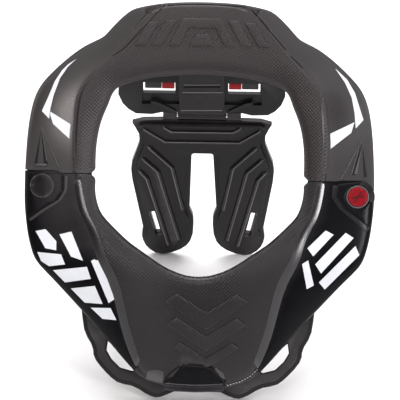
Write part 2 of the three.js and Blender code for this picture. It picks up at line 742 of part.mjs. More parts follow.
// Slanted ridge beside the middle panel, in the same shares
const RIDGE_ROWS = [
  { across: 0.609, up: 0.3 },
  { across: 0.524, up: 0.269 },
  { across: 0.319, up: 0.108 },
];

function bracketBody() {
  const halfThick = BRACKET_THICK / 2;
  const corners = BRACKET_ROWS.map((row) => at(row.across * BRACKET_HALF_WIDTH, row.up * BRACKET_HEIGHT));
  const notch = KNUCKLE_RADIUS + TURN_GAP + 0.6;
  const right = [at(0, notch), at(EAR_END + 0.8, notch), ...corners, at(0, BRACKET_HEIGHT)];
  const plateBody = plate(bothSides(right), -halfThick, halfThick);
  const window = (side) => {
    const [near, far] = side > 0 ? [WINDOW_NEAR, WINDOW_FAR] : [-WINDOW_FAR, -WINDOW_NEAR];
    return block(near, far, WINDOW_LOW, WINDOW_HIGH, -TALL, TALL);
  };
  const recessEnd = WINDOW_FAR + RECESS_MARGIN;
  const recess = (side) => {
    const [near, far] = side > 0 ? [PANEL_HALF_WIDTH, recessEnd] : [-recessEnd, -PANEL_HALF_WIDTH];
    return block(near, far, RECESS_LOW, WINDOW_LOW + 1, halfThick - RECESS_DEPTH, TALL);
  };
  const panelTop = BRACKET_HEIGHT - PANEL_MARGIN;
  const panel = block(-PANEL_HALF_WIDTH, PANEL_HALF_WIDTH, PANEL_LOW, panelTop, 0, halfThick + PANEL_RISE);
  const web = block(-CENTRE_KNUCKLE, CENTRE_KNUCKLE, 0, notch + 1, -halfThick, halfThick);
  const pinHole = crossBar(-TALL, TALL, HINGE_PIN_RADIUS + SEAT_GAP);
  let body = plateBody.add(panel).add(web).add(crossBar(-CENTRE_KNUCKLE, CENTRE_KNUCKLE, KNUCKLE_RADIUS));
  for (const side of [-1, 1]) {
    const ridge = RIDGE_ROWS.map((row) => {
      return at(side * row.across * BRACKET_HALF_WIDTH, row.up * BRACKET_HEIGHT);
    });
    body = body.subtract(window(side)).subtract(recess(side));
    body = body.add(plate(band(ridge, RIDGE_WIDTH), 0, halfThick + RIDGE_RISE));
  }
  return body.subtract(pinHole);
}

// The bracket's foot fills the hollow under the rear platform, in collar coordinates
function bracketFoot() {
  const front = NECK_REAR + WALL + 2;
  const skirt = -SKIRT_DEPTH;
  const back = front + FOOT_LENGTH;
  const half = FOOT_HALF_WIDTH - STEP_INSET;
  const low = block(-FOOT_HALF_WIDTH, FOOT_HALF_WIDTH, front, back, skirt - 1, FOOT_STEP);
  const high = block(-half, half, front + STEP_INSET, back - STEP_INSET, FOOT_STEP - 1, FOOT_TOP);
  return low.add(high);
}

// The bracket's front face passes just under the skirt of the rear rim
function hingeHeight() {
  const lean = THREE.MathUtils.degToRad(STRUT_ANGLE);
  const half = BRACKET_THICK / 2;
  const reach = NECK_REAR + WALL + RIM_ROLL / 2 - HINGE_Y + half * Math.sin(lean);
  return -SKIRT_DEPTH - SEAT_GAP - reach * Math.tan(lean) - half * Math.cos(lean);
}

const STRUT_PLACE = new THREE.Matrix4()
  .makeRotationX(THREE.MathUtils.degToRad(STRUT_ANGLE))
  .setPosition(0, HINGE_Y, hingeHeight());

function inCollar(body) {
  return solid(geometryOf(body).applyMatrix4(STRUT_PLACE));
}

function thoracicBracket() {
  const body = inCollar(bracketBody()).add(bracketFoot());
  return piece('thoracic_bracket', body, PLASTIC_FINISH);
}

function adjusterParts() {
  const halfThick = BRACKET_THICK / 2;
  const low = WINDOW_LOW + SLOT_HEIGHT;
  const high = WINDOW_HIGH - SEAT_GAP;
  const parts = [];
  for (const [word, side] of [['left', -1], ['right', 1]]) {
    const span = (near, far) => (side > 0 ? [near, far] : [-far, -near]);
    const farBlock = WINDOW_FAR - OUTER_SLIT;
    const [b0, b1] = span(farBlock - BLOCK_LENGTH, farBlock);
    const nearBlock = farBlock - BLOCK_LENGTH - SEAT_GAP;
    const [p0, p1] = span(nearBlock - PIN_LENGTH, nearBlock);
    const middle = (low + high) / 2;
    const radius = (high - low) / 2;
    const pin = solid(geometryOf(crossBar(p0, p1, radius)).translate(0, middle, 0));
    const slider = block(b0, b1, low, high, -halfThick, halfThick - BLOCK_SINK);
    parts.push(piece(`adjuster_block_${word}`, slider, PLASTIC_FINISH));
    parts.push(piece(`adjuster_pin_${word}`, pin, RED_FINISH));
  }
  const hingePin = crossBar(-EAR_END + PIN_SHORT, EAR_END - PIN_SHORT, HINGE_PIN_RADIUS);
  parts.push(piece('strut_hinge_pin', hingePin, STEEL_FINISH));
  return parts;
}

// Half outline of the fins from the hinge down, as shares of their half width and length
const FIN_ROWS = [
  { across: 0.573, down: 0.031 },
  { across: 0.82, down: 0.034 },
  { across: 0.975, down: 0.055 },
  { across: 0.874, down: 0.168 },
  { across: 1, down: 0.348 },
  { across: 0.989, down: 0.467 },
  { across: 0.853, down: 0.805 },
  { across: 0.872, down: 0.875 },
  { across: 0.79, down: 0.955 },
  { across: 0.6, down: 1 },
  { across: 0.316, down: 0.96 },
  { across: 0.166, down: 0.88 },
  { across: 0.137, down: 0.735 },
  { across: 0.19, down: 0.665 },
];

function finOutline() {
  const corners = FIN_ROWS.map((row) => at(row.across * FIN_HALF_WIDTH, -row.down * FIN_LENGTH));
  const upper = corners.slice(0, 3);
  const side = rounded(corners.slice(2, 6), 2).slice(1);
  const tip = rounded(corners.slice(6), 2);
  const cornerX = FIN_SLOT_HALF_WIDTH - SLOT_CORNER;
  const slotTop = arc(cornerX, -FIN_SLOT_TOP - SLOT_CORNER, SLOT_CORNER, 0, 90, 3);
  return bothSides([at(0, upper[0].y), ...upper, ...side, ...tip, ...slotTop, at(0, -FIN_SLOT_TOP)]);
}

// Ribs of the fin pad, broken lines at the right as shares of half width and length
const RIB_LINES = [
  [{ across: 0.753, down: 0.203 }, { across: 0.426, down: 0.348 }, { across: 0.283, down: 0.65 }],
  [{ across: 0.836, down: 0.287 }, { across: 0.623, down: 0.38 }, { across: 0.34, down: 0.87 }],
  [{ across: 0.885, down: 0.375 }, { across: 0.782, down: 0.431 }, { across: 0.49, down: 0.91 }],
];
const CROSS_RIBS = [
  [{ across: 0.82, down: 0.078 }, { across: 0.522, down: 0.166 }],
  [{ across: 0.545, down: 0.062 }, { across: 0.427, down: 0.094 }],
];

function finPoint(row, side) {
  return at(side * row.across * FIN_HALF_WIDTH, -row.down * FIN_LENGTH);
}

function strapSlot(side, grow) {
  const outline = [
    at(-STRAP_SLOT_WIDTH / 2 - grow, -STRAP_SLOT_LENGTH / 2 - grow),
    at(STRAP_SLOT_WIDTH / 2 + grow, -STRAP_SLOT_LENGTH / 2 - grow),
    at(STRAP_SLOT_WIDTH / 2 + grow, STRAP_SLOT_LENGTH / 2 + grow),
    at(-STRAP_SLOT_WIDTH / 2 - grow, STRAP_SLOT_LENGTH / 2 + grow),
  ];
  const turn = -side * THREE.MathUtils.degToRad(STRAP_SLOT_TURN);
  const centre = at(side * STRAP_SLOT_X, -STRAP_SLOT_DOWN);
  return outline.map((p) => p.clone().rotateAround(at(0, 0), turn).add(centre));
}

function finPlate() {
  const halfThick = FIN_THICK / 2;
  const slots = [strapSlot(1, 0), strapSlot(-1, 0)];
  let body = plate(finOutline(), -halfThick, halfThick, slots);
  for (const [x0, x1] of [[EAR_START, EAR_END], [-EAR_END, -EAR_START]]) {
    const web = block(x0, x1, -FIN_LENGTH * 0.05, 0, -halfThick, halfThick);
    body = body.add(web).add(crossBar(x0, x1, KNUCKLE_RADIUS));
  }
  return body.subtract(crossBar(-TALL, TALL, HINGE_PIN_RADIUS + SEAT_GAP));
}

function finPad() {
  const bottom = FIN_THICK / 2 + SEAT_GAP;
  const top = bottom + FIN_PAD_THICK;
  const slots = [strapSlot(1, SLOT_MARGIN), strapSlot(-1, SLOT_MARGIN)];
  let body = plate(inset(finOutline(), FIN_PAD_MARGIN), bottom, top, slots);
  const ribAt = (line, side) => line.map((row) => finPoint(row, side));
  const lines = CROSS_RIBS.map((line) => [...ribAt(line, 1), ...mirror(ribAt(line, 1))]);
  for (const side of [-1, 1]) {
    lines.push(...RIB_LINES.map((line) => ribAt(line, side)));
  }
  for (const line of lines) {
    body = body.add(plate(band(line, RIB_WIDTH), bottom + RIB_ROOT, top + RIB_RISE));
  }
  return body;
}

// The stance: the collar leans until the chest foam's foot and the fin tips touch one level

function lowestAfter(points, lean) {
  return Math.min(...points.map((p) => p.y * Math.sin(lean) + p.z * Math.cos(lean)));
}

function cornersOf(mesh) {
  const place = mesh.geometry.attributes.position;
  mesh.updateWorldMatrix(true, false);
  const points = [];
  for (let k = 0; k < place.count; k += 1) {
    points.push(new THREE.Vector3().fromBufferAttribute(place, k).applyMatrix4(mesh.matrixWorld));
  }
  return points;
}

function stance(footMesh, tipMesh) {
  const foot = cornersOf(footMesh);
  const tips = cornersOf(tipMesh);
  let low = 0;
  let high = Math.PI / 2;
  for (let k = 0; k < 50; k += 1) {
    const lean = (low + high) / 2;
    if (lowestAfter(foot, lean) > lowestAfter(tips, lean)) {
      low = lean;
    } else {
      high = lean;
    }
  }
  return { lean: high, height: -Math.min(lowestAfter(foot, high), lowestAfter(tips, high)) };
}

const collar = new THREE.Group();
const strut = new THREE.Group();
strut.applyMatrix4(STRUT_PLACE);
const finPlateMesh = piece('fin_plate', finPlate(), PLASTIC_FINISH);
strut.add(finPlateMesh, piece('fin_pad', finPad(), PLASTIC_FINISH), ...adjusterParts());
collar.add(...rearParts(), thoracicBracket(), ...frontParts(), releaseButton(), strut);

const footMesh = collar.children.find((mesh) => mesh.name === 'chest_foam');
const { lean, height } = stance(footMesh, finPlateMesh);
collar.rotation.x = lean;
collar.position.z = height;

// Centre the footprint on the origin
const brace = new THREE.Group();
brace.add(collar);
brace.updateMatrixWorld(true);
const footprint = new THREE.Box3().setFromObject(brace, true);
collar.position.x -= (footprint.min.x + footprint.max.x) / 2;
collar.position.y -= (footprint.min.y + footprint.max.y) / 2;

export default brace;
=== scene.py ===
import math
import random

import bmesh
import bpy
from mathutils import Matrix, Vector
from mathutils.geometry import delaunay_2d_cdt


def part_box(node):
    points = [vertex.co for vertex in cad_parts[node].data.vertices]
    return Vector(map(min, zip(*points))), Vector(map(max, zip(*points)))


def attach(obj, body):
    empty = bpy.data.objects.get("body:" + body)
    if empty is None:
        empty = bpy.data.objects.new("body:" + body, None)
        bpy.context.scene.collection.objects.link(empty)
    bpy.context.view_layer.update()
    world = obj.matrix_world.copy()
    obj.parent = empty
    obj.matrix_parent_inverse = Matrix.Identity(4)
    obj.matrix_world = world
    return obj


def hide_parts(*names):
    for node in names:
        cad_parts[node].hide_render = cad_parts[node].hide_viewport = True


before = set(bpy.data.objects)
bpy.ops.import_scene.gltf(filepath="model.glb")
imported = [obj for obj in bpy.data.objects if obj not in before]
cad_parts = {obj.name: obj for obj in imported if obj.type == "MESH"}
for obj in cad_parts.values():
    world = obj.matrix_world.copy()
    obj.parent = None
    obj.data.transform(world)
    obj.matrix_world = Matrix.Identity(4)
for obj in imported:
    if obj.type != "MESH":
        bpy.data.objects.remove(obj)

random.seed(11)
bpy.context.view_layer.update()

# Collar and strut planes of the brace in the shared frame, in millimetres
LEAN = 53.3635
STRUT_LEAN = 104.3635
MM = 0.001
COLLAR = (
    Matrix.Translation((0.0000366, -0.0252507, 0.1811074))
    @ Matrix.Rotation(math.radians(LEAN), 4, "X")
    @ Matrix.Scale(MM, 4)
)
STRUT = (
    Matrix.Translation((0.0000366, 0.064107, 0.182574))
    @ Matrix.Rotation(math.radians(STRUT_LEAN), 4, "X")
    @ Matrix.Scale(MM, 4)
)


def normal_of(place):
    """The direction that a plane faces."""
    return (place.to_3x3() @ Vector((0, 0, 1))).normalized()


# A pixel's size on the collar plane in millimetres, the pixel at its origin, and the picture's side
PIXEL = 0.838
PIXEL_MIDDLE = (199, 178)
PICTURE = 400

# How close corners are merged, in metres
MERGE = 0.000004
WALL_MERGE = 0.00001

# Camera: turned a little to one side of square on to the collar
YAW = math.radians(1.5)
REACH = 6.0
SPAN = 0.335
AIM = COLLAR @ Vector((0.8, -18.0, -2.0))
FACING = Matrix.Rotation(YAW, 3, "Z") @ normal_of(COLLAR)

# Plan sizes and the rows from the middle outwards: neck x, neck y, edge x, edge y, crease
NECK_HALF = 87
REAR_SIZES = (87, 148)
FRONT_SIZES = (-82, -178)
EDGE_HALF = 146.5
REAR_ROWS = [
    (0.365, 0.976, 0.332, 0.969, 0.88), (0.5, 0.957, 0.418, 0.941, 0.742),
    (0.635, 0.923, 0.521, 0.839, 0.678), (0.731, 0.894, 0.567, 0.79, 0.634),
    (0.808, 0.856, 0.664, 0.745, 0.546), (0.856, 0.788, 0.767, 0.669, 0.52),
    (0.885, 0.702, 0.858, 0.584, 0.5), (0.923, 0.615, 0.921, 0.51, 0.44),
    (0.962, 0.5, 0.961, 0.414, 0.38), (0.99, 0.346, 0.984, 0.283, 0.355),
    (1, 0.192, 0.995, 0.136, 0.335), (1, 0.06, 1, 0.045, 0.315),
]
FRONT_ROWS = [
    (0.096, 0.992, 0.36, 0.913, 0.94), (0.154, 0.977, 0.458, 0.824, 0.85),
    (0.24, 0.946, 0.555, 0.729, 0.72), (0.337, 0.895, 0.664, 0.631, 0.58),
    (0.442, 0.824, 0.744, 0.56, 0.5), (0.558, 0.738, 0.824, 0.489, 0.44),
    (0.663, 0.661, 0.898, 0.428, 0.36), (0.769, 0.56, 0.944, 0.376, 0.28),
    (0.875, 0.448, 0.973, 0.292, 0.24), (0.952, 0.346, 0.987, 0.226, 0.24),
    (0.998, 0.173, 1, 0.122, 0.24), (1, 0.03, 1, 0.02, 0.27),
]


def pixel(x, y):
    """A point of the collar plane from where it is seen in the picture, in millimetres."""
    return ((x - PIXEL_MIDDLE[0]) * PIXEL, (PIXEL_MIDDLE[1] - y) * PIXEL)


def view_plane(depth):
    """A plane square to the camera, its places scaled for how far behind the collar they lie."""
    turn = Matrix.Rotation(YAW, 4, "Z") @ Matrix.Rotation(math.radians(LEAN), 4, "X")
    return Matrix.Translation(AIM) @ turn @ Matrix.Scale((1 + depth * MM / REACH) * MM, 4)


def seen(*places):
    """Places of the picture on a plane square to the camera, in millimetres."""
    share = SPAN / PICTURE / MM
    middle = PICTURE / 2
    return [((x - middle) * share, (middle - y) * share) for x, y in places]


# Shader groups


def new_group(name, inputs, outputs):
    group = bpy.data.node_groups.new(name, "ShaderNodeTree")
    for label, kind, default in inputs:
        socket = group.interface.new_socket(label, in_out="INPUT", socket_type=kind)
        if default is not None:
            socket.default_value = default
    for label, kind in outputs:
        group.interface.new_socket(label, in_out="OUTPUT", socket_type=kind)
    group.nodes.new("NodeGroupInput")
    group.nodes.new("NodeGroupOutput")
    return group


def ends(group):
    start = next(n for n in group.nodes if n.type == "GROUP_INPUT")
    end = next(n for n in group.nodes if n.type == "GROUP_OUTPUT")
    return start, end


def add(tree, kind, **values):
    node = tree.nodes.new(kind)
    for key, value in values.items():
        if hasattr(node, key):
            setattr(node, key, value)
        else:
            node.inputs[key.replace("_", " ")].default_value = value
    return node


def maths(tree, operation, first, second=None):
    node = tree.nodes.new("ShaderNodeMath")
    node.operation = operation
    for socket, value in zip(node.inputs, (first, second)):
        if value is None:
            continue
        if isinstance(value, (int, float)):
            socket.default_value = value
        else:
            tree.links.new(value, socket)
    return node.outputs[0]


def weave_group():
    """Fine diagonal cloth weave pressed in the plastic: a height and a light-dark mask."""
    group = new_group(
        "weave",
        [("Pitch", "NodeSocketFloat", 0.0031)],
        [("Height", "NodeSocketFloat"), ("Tone", "NodeSocketFloat")],
    )
    start, end = ends(group)
    coords = add(group, "ShaderNodeTexCoord")
    turned = add(group, "ShaderNodeMapping")
    turned.inputs["Rotation"].default_value = (-math.radians(LEAN), 0, 0)
    group.links.new(coords.outputs["Object"], turned.inputs["Vector"])
    apart = add(group, "ShaderNodeSeparateXYZ")
    group.links.new(turned.outputs["Vector"], apart.inputs[0])
    x, y, z = apart.outputs
    pitch = start.outputs["Pitch"]
    level = maths(group, "ADD", y, maths(group, "MULTIPLY", z, 0.6))
    along = maths(group, "DIVIDE", x, pitch)
    across = maths(group, "DIVIDE", level, pitch)
    turn = 2 * math.pi
    first = maths(group, "SINE", maths(group, "MULTIPLY", along, turn))
    second = maths(group, "SINE", maths(group, "MULTIPLY", across, turn))
    product = maths(group, "MULTIPLY", first, second)
    height = maths(group, "ADD", maths(group, "MULTIPLY", product, 0.5), 0.5)
    patch = add(group, "ShaderNodeTexNoise", Scale=42.0, Detail=3.0, Roughness=0.6)
    group.links.new(coords.outputs["Object"], patch.inputs["Vector"])
    from_height = maths(group, "MULTIPLY", height, 0.7)
    from_patch = maths(group, "MULTIPLY", patch.outputs["Fac"], 0.45)
    tone = maths(group, "ADD", from_height, from_patch)
    group.links.new(height, end.inputs["Height"])
    group.links.new(tone, end.inputs["Tone"])
    return group


def grain_group():
    """Fine moulded grain with broad uneven patches: a height and a patch mask."""
    group = new_group(
        "grain",
        [("Scale", "NodeSocketFloat", 900.0)],
        [("Height", "NodeSocketFloat"), ("Patch", "NodeSocketFloat")],
    )
    start, end = ends(group)
    coords = add(group, "ShaderNodeTexCoord")
    fine = add(group, "ShaderNodeTexNoise", Detail=2.0, Roughness=0.7)
    broad = add(group, "ShaderNodeTexNoise", Scale=26.0, Detail=4.0, Roughness=0.6)
    for noise in (fine, broad):
        group.links.new(coords.outputs["Object"], noise.inputs["Vector"])
    group.links.new(start.outputs["Scale"], fine.inputs["Scale"])
    group.links.new(fine.outputs["Fac"], end.inputs["Height"])
    group.links.new(broad.outputs["Fac"], end.inputs["Patch"])
    return group


# How sharply an edge turns before it is rubbed, and how fast the wear grows from there
WORN_FROM = 0.515
WORN_GAIN = 18.0


def wear_group():
    """Where edges are rubbed, from how sharply the surface turns."""
    group = new_group("edge_wear", [("Amount", "NodeSocketFloat", 0.5)], [("Mask", "NodeSocketFloat")])
    start, end = ends(group)
    shape = add(group, "ShaderNodeNewGeometry")
    coords = add(group, "ShaderNodeTexCoord")
    noise = add(group, "ShaderNodeTexNoise", Scale=160.0, Detail=4.0, Roughness=0.7)
    group.links.new(coords.outputs["Object"], noise.inputs["Vector"])
    rise = maths(group, "SUBTRACT", shape.outputs["Pointiness"], WORN_FROM)
    sharp = maths(group, "MULTIPLY", rise, WORN_GAIN)
    broken = maths(group, "MULTIPLY", sharp, noise.outputs["Fac"])
    node = tree_clamp(group, maths(group, "MULTIPLY", broken, start.outputs["Amount"]))
    group.links.new(node, end.inputs["Mask"])
    return group


def tree_clamp(tree, value):
    """Holds a value between 0 and 1."""
    node = tree.nodes.new("ShaderNodeClamp")
    tree.links.new(value, node.inputs["Value"])
    return node.outputs[0]


def polish_group():
    """How dull the surface is away from a patch rubbed smooth, from the distance to its middle."""
    group = new_group(
        "polish",
        [("Middle", "NodeSocketVector", (0, 0, 0)), ("Near", "NodeSocketFloat", 0.02),
         ("Far", "NodeSocketFloat", 0.07)],
        [("Dull", "NodeSocketFloat")],
    )
    start, end = ends(group)
    coords = add(group, "ShaderNodeTexCoord")
    gap = add(group, "ShaderNodeVectorMath", operation="DISTANCE")
    group.links.new(coords.outputs["Object"], gap.inputs[0])
    group.links.new(start.outputs["Middle"], gap.inputs[1])
    ramp = add(group, "ShaderNodeMapRange", interpolation_type="SMOOTHSTEP")
    group.links.new(gap.outputs["Value"], ramp.inputs["Value"])
    group.links.new(start.outputs["Near"], ramp.inputs["From Min"])
    group.links.new(start.outputs["Far"], ramp.inputs["From Max"])
    group.links.new(ramp.outputs["Result"], end.inputs["Dull"])
    return group


WEAVE = weave_group()
GRAIN = grain_group()
WEAR = wear_group()
POLISH = polish_group()


def blend_colour(tree, mask, low, high):
    node = tree.nodes.new("ShaderNodeMix")
    node.data_type = "RGBA"
    first, second = [s for s in node.inputs if s.type == "RGBA"]
    for socket, value in ((first, low), (second, high)):
        if isinstance(value, tuple):
            socket.default_value = (*value, 1)
        else:
            tree.links.new(value, socket)
    tree.links.new(mask, node.inputs["Factor"])
    return next(s for s in node.outputs if s.type == "RGBA")


def use_group(tree, group, **values):
    node = tree.nodes.new("ShaderNodeGroup")
    node.node_tree = group
    for key, value in values.items():
        node.inputs[key].default_value = value
    return node


GRAIN_DEPTH = 0.00006
WEAVE_DEPTH = 0.00018


def material(name, colour, rough, weave=0.0, grain=0.0, grain_scale=900.0, tone=1.35, wear=0.0,
             edge=(0.3, 0.29, 0.31), metal=0.0, specular=0.5, uneven=0.16, smooth=(), dull=0.2):
    """A Principled material with the shared weave, grain and edge wear mixed in.
    smooth lists patches rubbed smooth, each a middle on the collar and two distances in metres."""
    made = bpy.data.materials.new(name)
    made.use_nodes = True
    tree = made.node_tree
    shader = tree.nodes["Principled BSDF"]
    shader.inputs["Metallic"].default_value = metal
    shader.inputs["Specular IOR Level"].default_value = specular
    grainy = use_group(tree, GRAIN, Scale=grain_scale)
    bright = tuple(min(1.0, c * tone) for c in colour)
    mask = grainy.outputs["Patch"]
    if weave:
        woven = use_group(tree, WEAVE)
        mask = woven.outputs["Tone"]
    painted = blend_colour(tree, mask, tuple(c * 0.75 for c in colour), bright)
    if wear:
        worn = use_group(tree, WEAR, Amount=wear)
        painted = blend_colour(tree, worn.outputs["Mask"], painted, edge)
    tree.links.new(painted, shader.inputs["Base Color"])
    spread = maths(tree, "MULTIPLY", maths(tree, "SUBTRACT", grainy.outputs["Patch"], 0.5), uneven)
    level = maths(tree, "ADD", spread, rough)
    farness = None
    for middle, near, far in smooth:
        patch = use_group(tree, POLISH, Middle=COLLAR @ Vector(middle), Near=near, Far=far)
        away = patch.outputs["Dull"]
        farness = away if farness is None else maths(tree, "MINIMUM", farness, away)
    if farness is not None:
        level = maths(tree, "ADD", level, maths(tree, "MULTIPLY", farness, dull))
    tree.links.new(tree_clamp(tree, level), shader.inputs["Roughness"])
    normal = None
    for group_height, strength, depth in (
        (grainy.outputs["Height"], grain, GRAIN_DEPTH),
        (woven.outputs["Height"] if weave else None, weave, WEAVE_DEPTH),
    ):
        if not strength or group_height is None:
            continue
        bump = tree.nodes.new("ShaderNodeBump")
        bump.inputs["Strength"].default_value = strength
        bump.inputs["Distance"].default_value = depth
        tree.links.new(group_height, bump.inputs["Height"])
        if normal is not None:
            tree.links.new(normal, bump.inputs["Normal"])
        normal = bump.outputs["Normal"]
    if normal is not None:
        tree.links.new(normal, shader.inputs["Normal"])
    return made


SKIN = material("woven_skin", (0.0088, 0.0066, 0.0069), 0.36, weave=1.0, grain=0.3, tone=3.0, wear=0.3,
                edge=(0.07, 0.062, 0.065), specular=0.34)
# A darker, cooler copy of the woven skin for the chest and its bars: painted shade
SHADED_FRONT_SKIN = material("woven_skin_front_shaded", (0.0058, 0.0049, 0.0053), 0.3, weave=1.0, grain=0.3, tone=2.8,
                      wear=0.3, edge=(0.07, 0.064, 0.068), specular=0.32, dull=0.14,
                      smooth=[((4, -94, -4), 0.008, 0.05), ((-78, -72, 0), 0.006, 0.04)])
SATIN = material("satin_cover", (0.0085, 0.006, 0.0064), 0.27, grain=0.4, tone=1.6, wear=0.3,
                 edge=(0.08, 0.072, 0.078), specular=0.55, uneven=0.04, dull=0.42,
                 smooth=[((-104, 52, 6), 0.012, 0.062), ((110, 58, 6), 0.005, 0.05)])
GLOSS = material("gloss_cover", (0.003, 0.0028, 0.0036), 0.26, grain=0.35, grain_scale=500.0, tone=1.5,
                 wear=0.25, edge=(0.07, 0.066, 0.074), specular=0.09)
MOULDED = material("moulded_plastic", (0.0046, 0.0041, 0.0048), 0.33, grain=0.5, wear=0.5,
                   edge=(0.07, 0.065, 0.07), specular=0.24)
FIN = material("fin_plastic", (0.0072, 0.006, 0.0071), 0.36, grain=0.5, wear=0.6, edge=(0.12, 0.108, 0.115),
               specular=0.22)
FRAME = material("satin_frame", (0.012, 0.0105, 0.011), 0.4, grain=0.5, wear=0.5, edge=(0.1, 0.092, 0.098),
                 specular=0.4)
FOAM = material("foam", (0.014, 0.013, 0.0138), 0.82, grain=1.0, grain_scale=1400.0, tone=1.8, specular=0.25)
RED = material("red_button", (0.2, 0.0012, 0.006), 0.26, grain=0.05, tone=1.1, specular=0.22)
PIN = material("red_pin", (0.26, 0.004, 0.009), 0.36, grain=0.2, tone=1.15, specular=0.25)
STEEL = material("steel", (0.5, 0.5, 0.52), 0.32, grain=0.2, metal=1.0, tone=1.1)
WHITE = material("white_print", (0.66, 0.68, 0.71), 0.4, grain=0.1, tone=1.05)
PALE = material("pale_trim", (0.07, 0.066, 0.07), 0.3, grain=0.2, tone=1.3, wear=0.5, edge=(0.3, 0.29, 0.3))
# Painted shade: a darker red for the pressed bars of the release button
PRESSING_SHADE = material("button_pressing_shade", (0.05, 0.0006, 0.002), 0.3, grain=0.1, tone=1.1, specular=0.3)
BEVEL = material("bevel_trim", (0.0085, 0.0072, 0.008), 0.22, grain=0.3, tone=1.6, wear=0.3,
                 edge=(0.16, 0.148, 0.16), specular=0.62, dull=0.34,
                 smooth=[((-98, -22, 0), 0.022, 0.07), ((101, -26, 0), 0.026, 0.078)])
# Painted highlight: a light grey paint for beads that stand in for lit edges on the fins and the bracket
HIGHLIGHT_PAINT = material("painted_highlight_line", (0.085, 0.078, 0.083), 0.3, grain=0.3, tone=1.7, specular=0.8)
# Painted highlight: a lighter paint for lit facets, a lit ledge, a glint and lit rims
GLINT_PAINT = material("painted_highlight_facet", (0.022, 0.0198, 0.021), 0.36, grain=0.6, tone=1.9, specular=0.6)
# Painted shade: a near-black paint laid in creases, recesses and at the feet of ribs where shade falls
SHADE_PAINT = material("painted_shade", (0.0022, 0.0022, 0.0025), 0.55, grain=0.3, specular=0.2)
THREAD = material("thread", (0.32, 0.3, 0.31), 0.7, grain=0.6, tone=1.3)


# Modelling helpers


def pick(obj):
    if bpy.context.mode != "OBJECT":
        bpy.ops.object.mode_set(mode="OBJECT")
    bpy.ops.object.select_all(action="DESELECT")
    obj.select_set(True)
    bpy.context.view_layer.objects.active = obj


def new_piece(name, data):
    """An object of its own in the scene, for a mesh or a curve."""
    obj = bpy.data.objects.new(name, data)
    bpy.context.scene.collection.objects.link(obj)
    return obj


def new_mesh(name, verts, faces):
    mesh = bpy.data.meshes.new(name)
    mesh.from_pydata(verts, [], faces)
    return new_piece(name, mesh)


def face_outwards(obj, merge=None):
    """Turns every face outwards, after merging corners that lie closer than merge."""
    pick(obj)
    bpy.ops.object.mode_set(mode="EDIT")
    bpy.ops.mesh.select_all(action="SELECT")
    if merge:
        bpy.ops.mesh.remove_doubles(threshold=merge)
    bpy.ops.mesh.normals_make_consistent(inside=False)
    bpy.ops.object.mode_set(mode="OBJECT")


def apply_modifier(obj, kind, **values):
    modifier = obj.modifiers.new(kind.lower(), kind)
    for key, value in values.items():
        setattr(modifier, key, value)
    pick(obj)
    bpy.ops.object.modifier_apply(modifier=modifier.name)


def soften(obj, angle):
    pick(obj)
    bpy.ops.object.shade_smooth_by_angle(angle=math.radians(angle))


def copy_of(node, name):
    """The CAD node's shape as a clean mesh of its own."""
    obj = new_piece(name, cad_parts[node].data.copy())
    pick(obj)
    bpy.ops.object.mode_set(mode="EDIT")
    bpy.ops.mesh.select_all(action="SELECT")
    bpy.ops.mesh.remove_doubles(threshold=MERGE)
    bpy.ops.mesh.tris_convert_to_quads(face_threshold=math.radians(6), shape_threshold=math.radians(70))
    bpy.ops.mesh.normals_make_consistent(inside=False)
    bpy.ops.object.mode_set(mode="OBJECT")
    return obj


def finish_piece(obj, body, paint, replaces=None):
    obj.data.materials.clear()
    obj.data.materials.append(paint)
    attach(obj, body)
    if replaces:
        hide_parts(replaces)
    return obj


def crease_sharp(obj, angle):
    """Marks edges that turn sharply, so that a subdivision keeps them."""
    mesh = obj.data
    shape = bmesh.new()
    shape.from_mesh(mesh)
    layers = shape.edges.layers.float
    layer = layers.get("crease_edge") or layers.new("crease_edge")
    limit = math.radians(angle)
    for edge in shape.edges:
        if len(edge.link_faces) != 2 or edge.calc_face_angle(0) > limit:
            edge[layer] = 1.0
    shape.to_mesh(mesh)
    shape.free()


def dress(node, body, paint, bevel=0.0, segments=2, limit=40, angle=38, subdivide=0, crease=34):
    """A finished copy of a CAD node: its edges rounded, or its surface refined, then evenly shaded."""
    obj = copy_of(node, "look_" + node)
    if bevel:
        apply_modifier(obj, "BEVEL", width=bevel * MM, segments=segments, limit_method="ANGLE",
                       angle_limit=math.radians(limit), use_clamp_overlap=True, miter_outer="MITER_ARC")
    if subdivide:
        crease_sharp(obj, crease)
        apply_modifier(obj, "SUBSURF", levels=subdivide, render_levels=subdivide)
    soften(obj, angle)
    if bevel:
        apply_modifier(obj, "WEIGHTED_NORMAL", weight=80, keep_sharp=True)
    return finish_piece(obj, body, paint, replaces=node)


def inside(point, outline):
    """Whether a point of the plane lies within a closed outline."""
    x, y = point
    odd = False
    for k, (ax, ay) in enumerate(outline):
        bx, by = outline[k - 1]
        if (ay > y) != (by > y) and x < (bx - ax) * (y - ay) / (by - ay) + ax:
            odd = not odd
    return odd


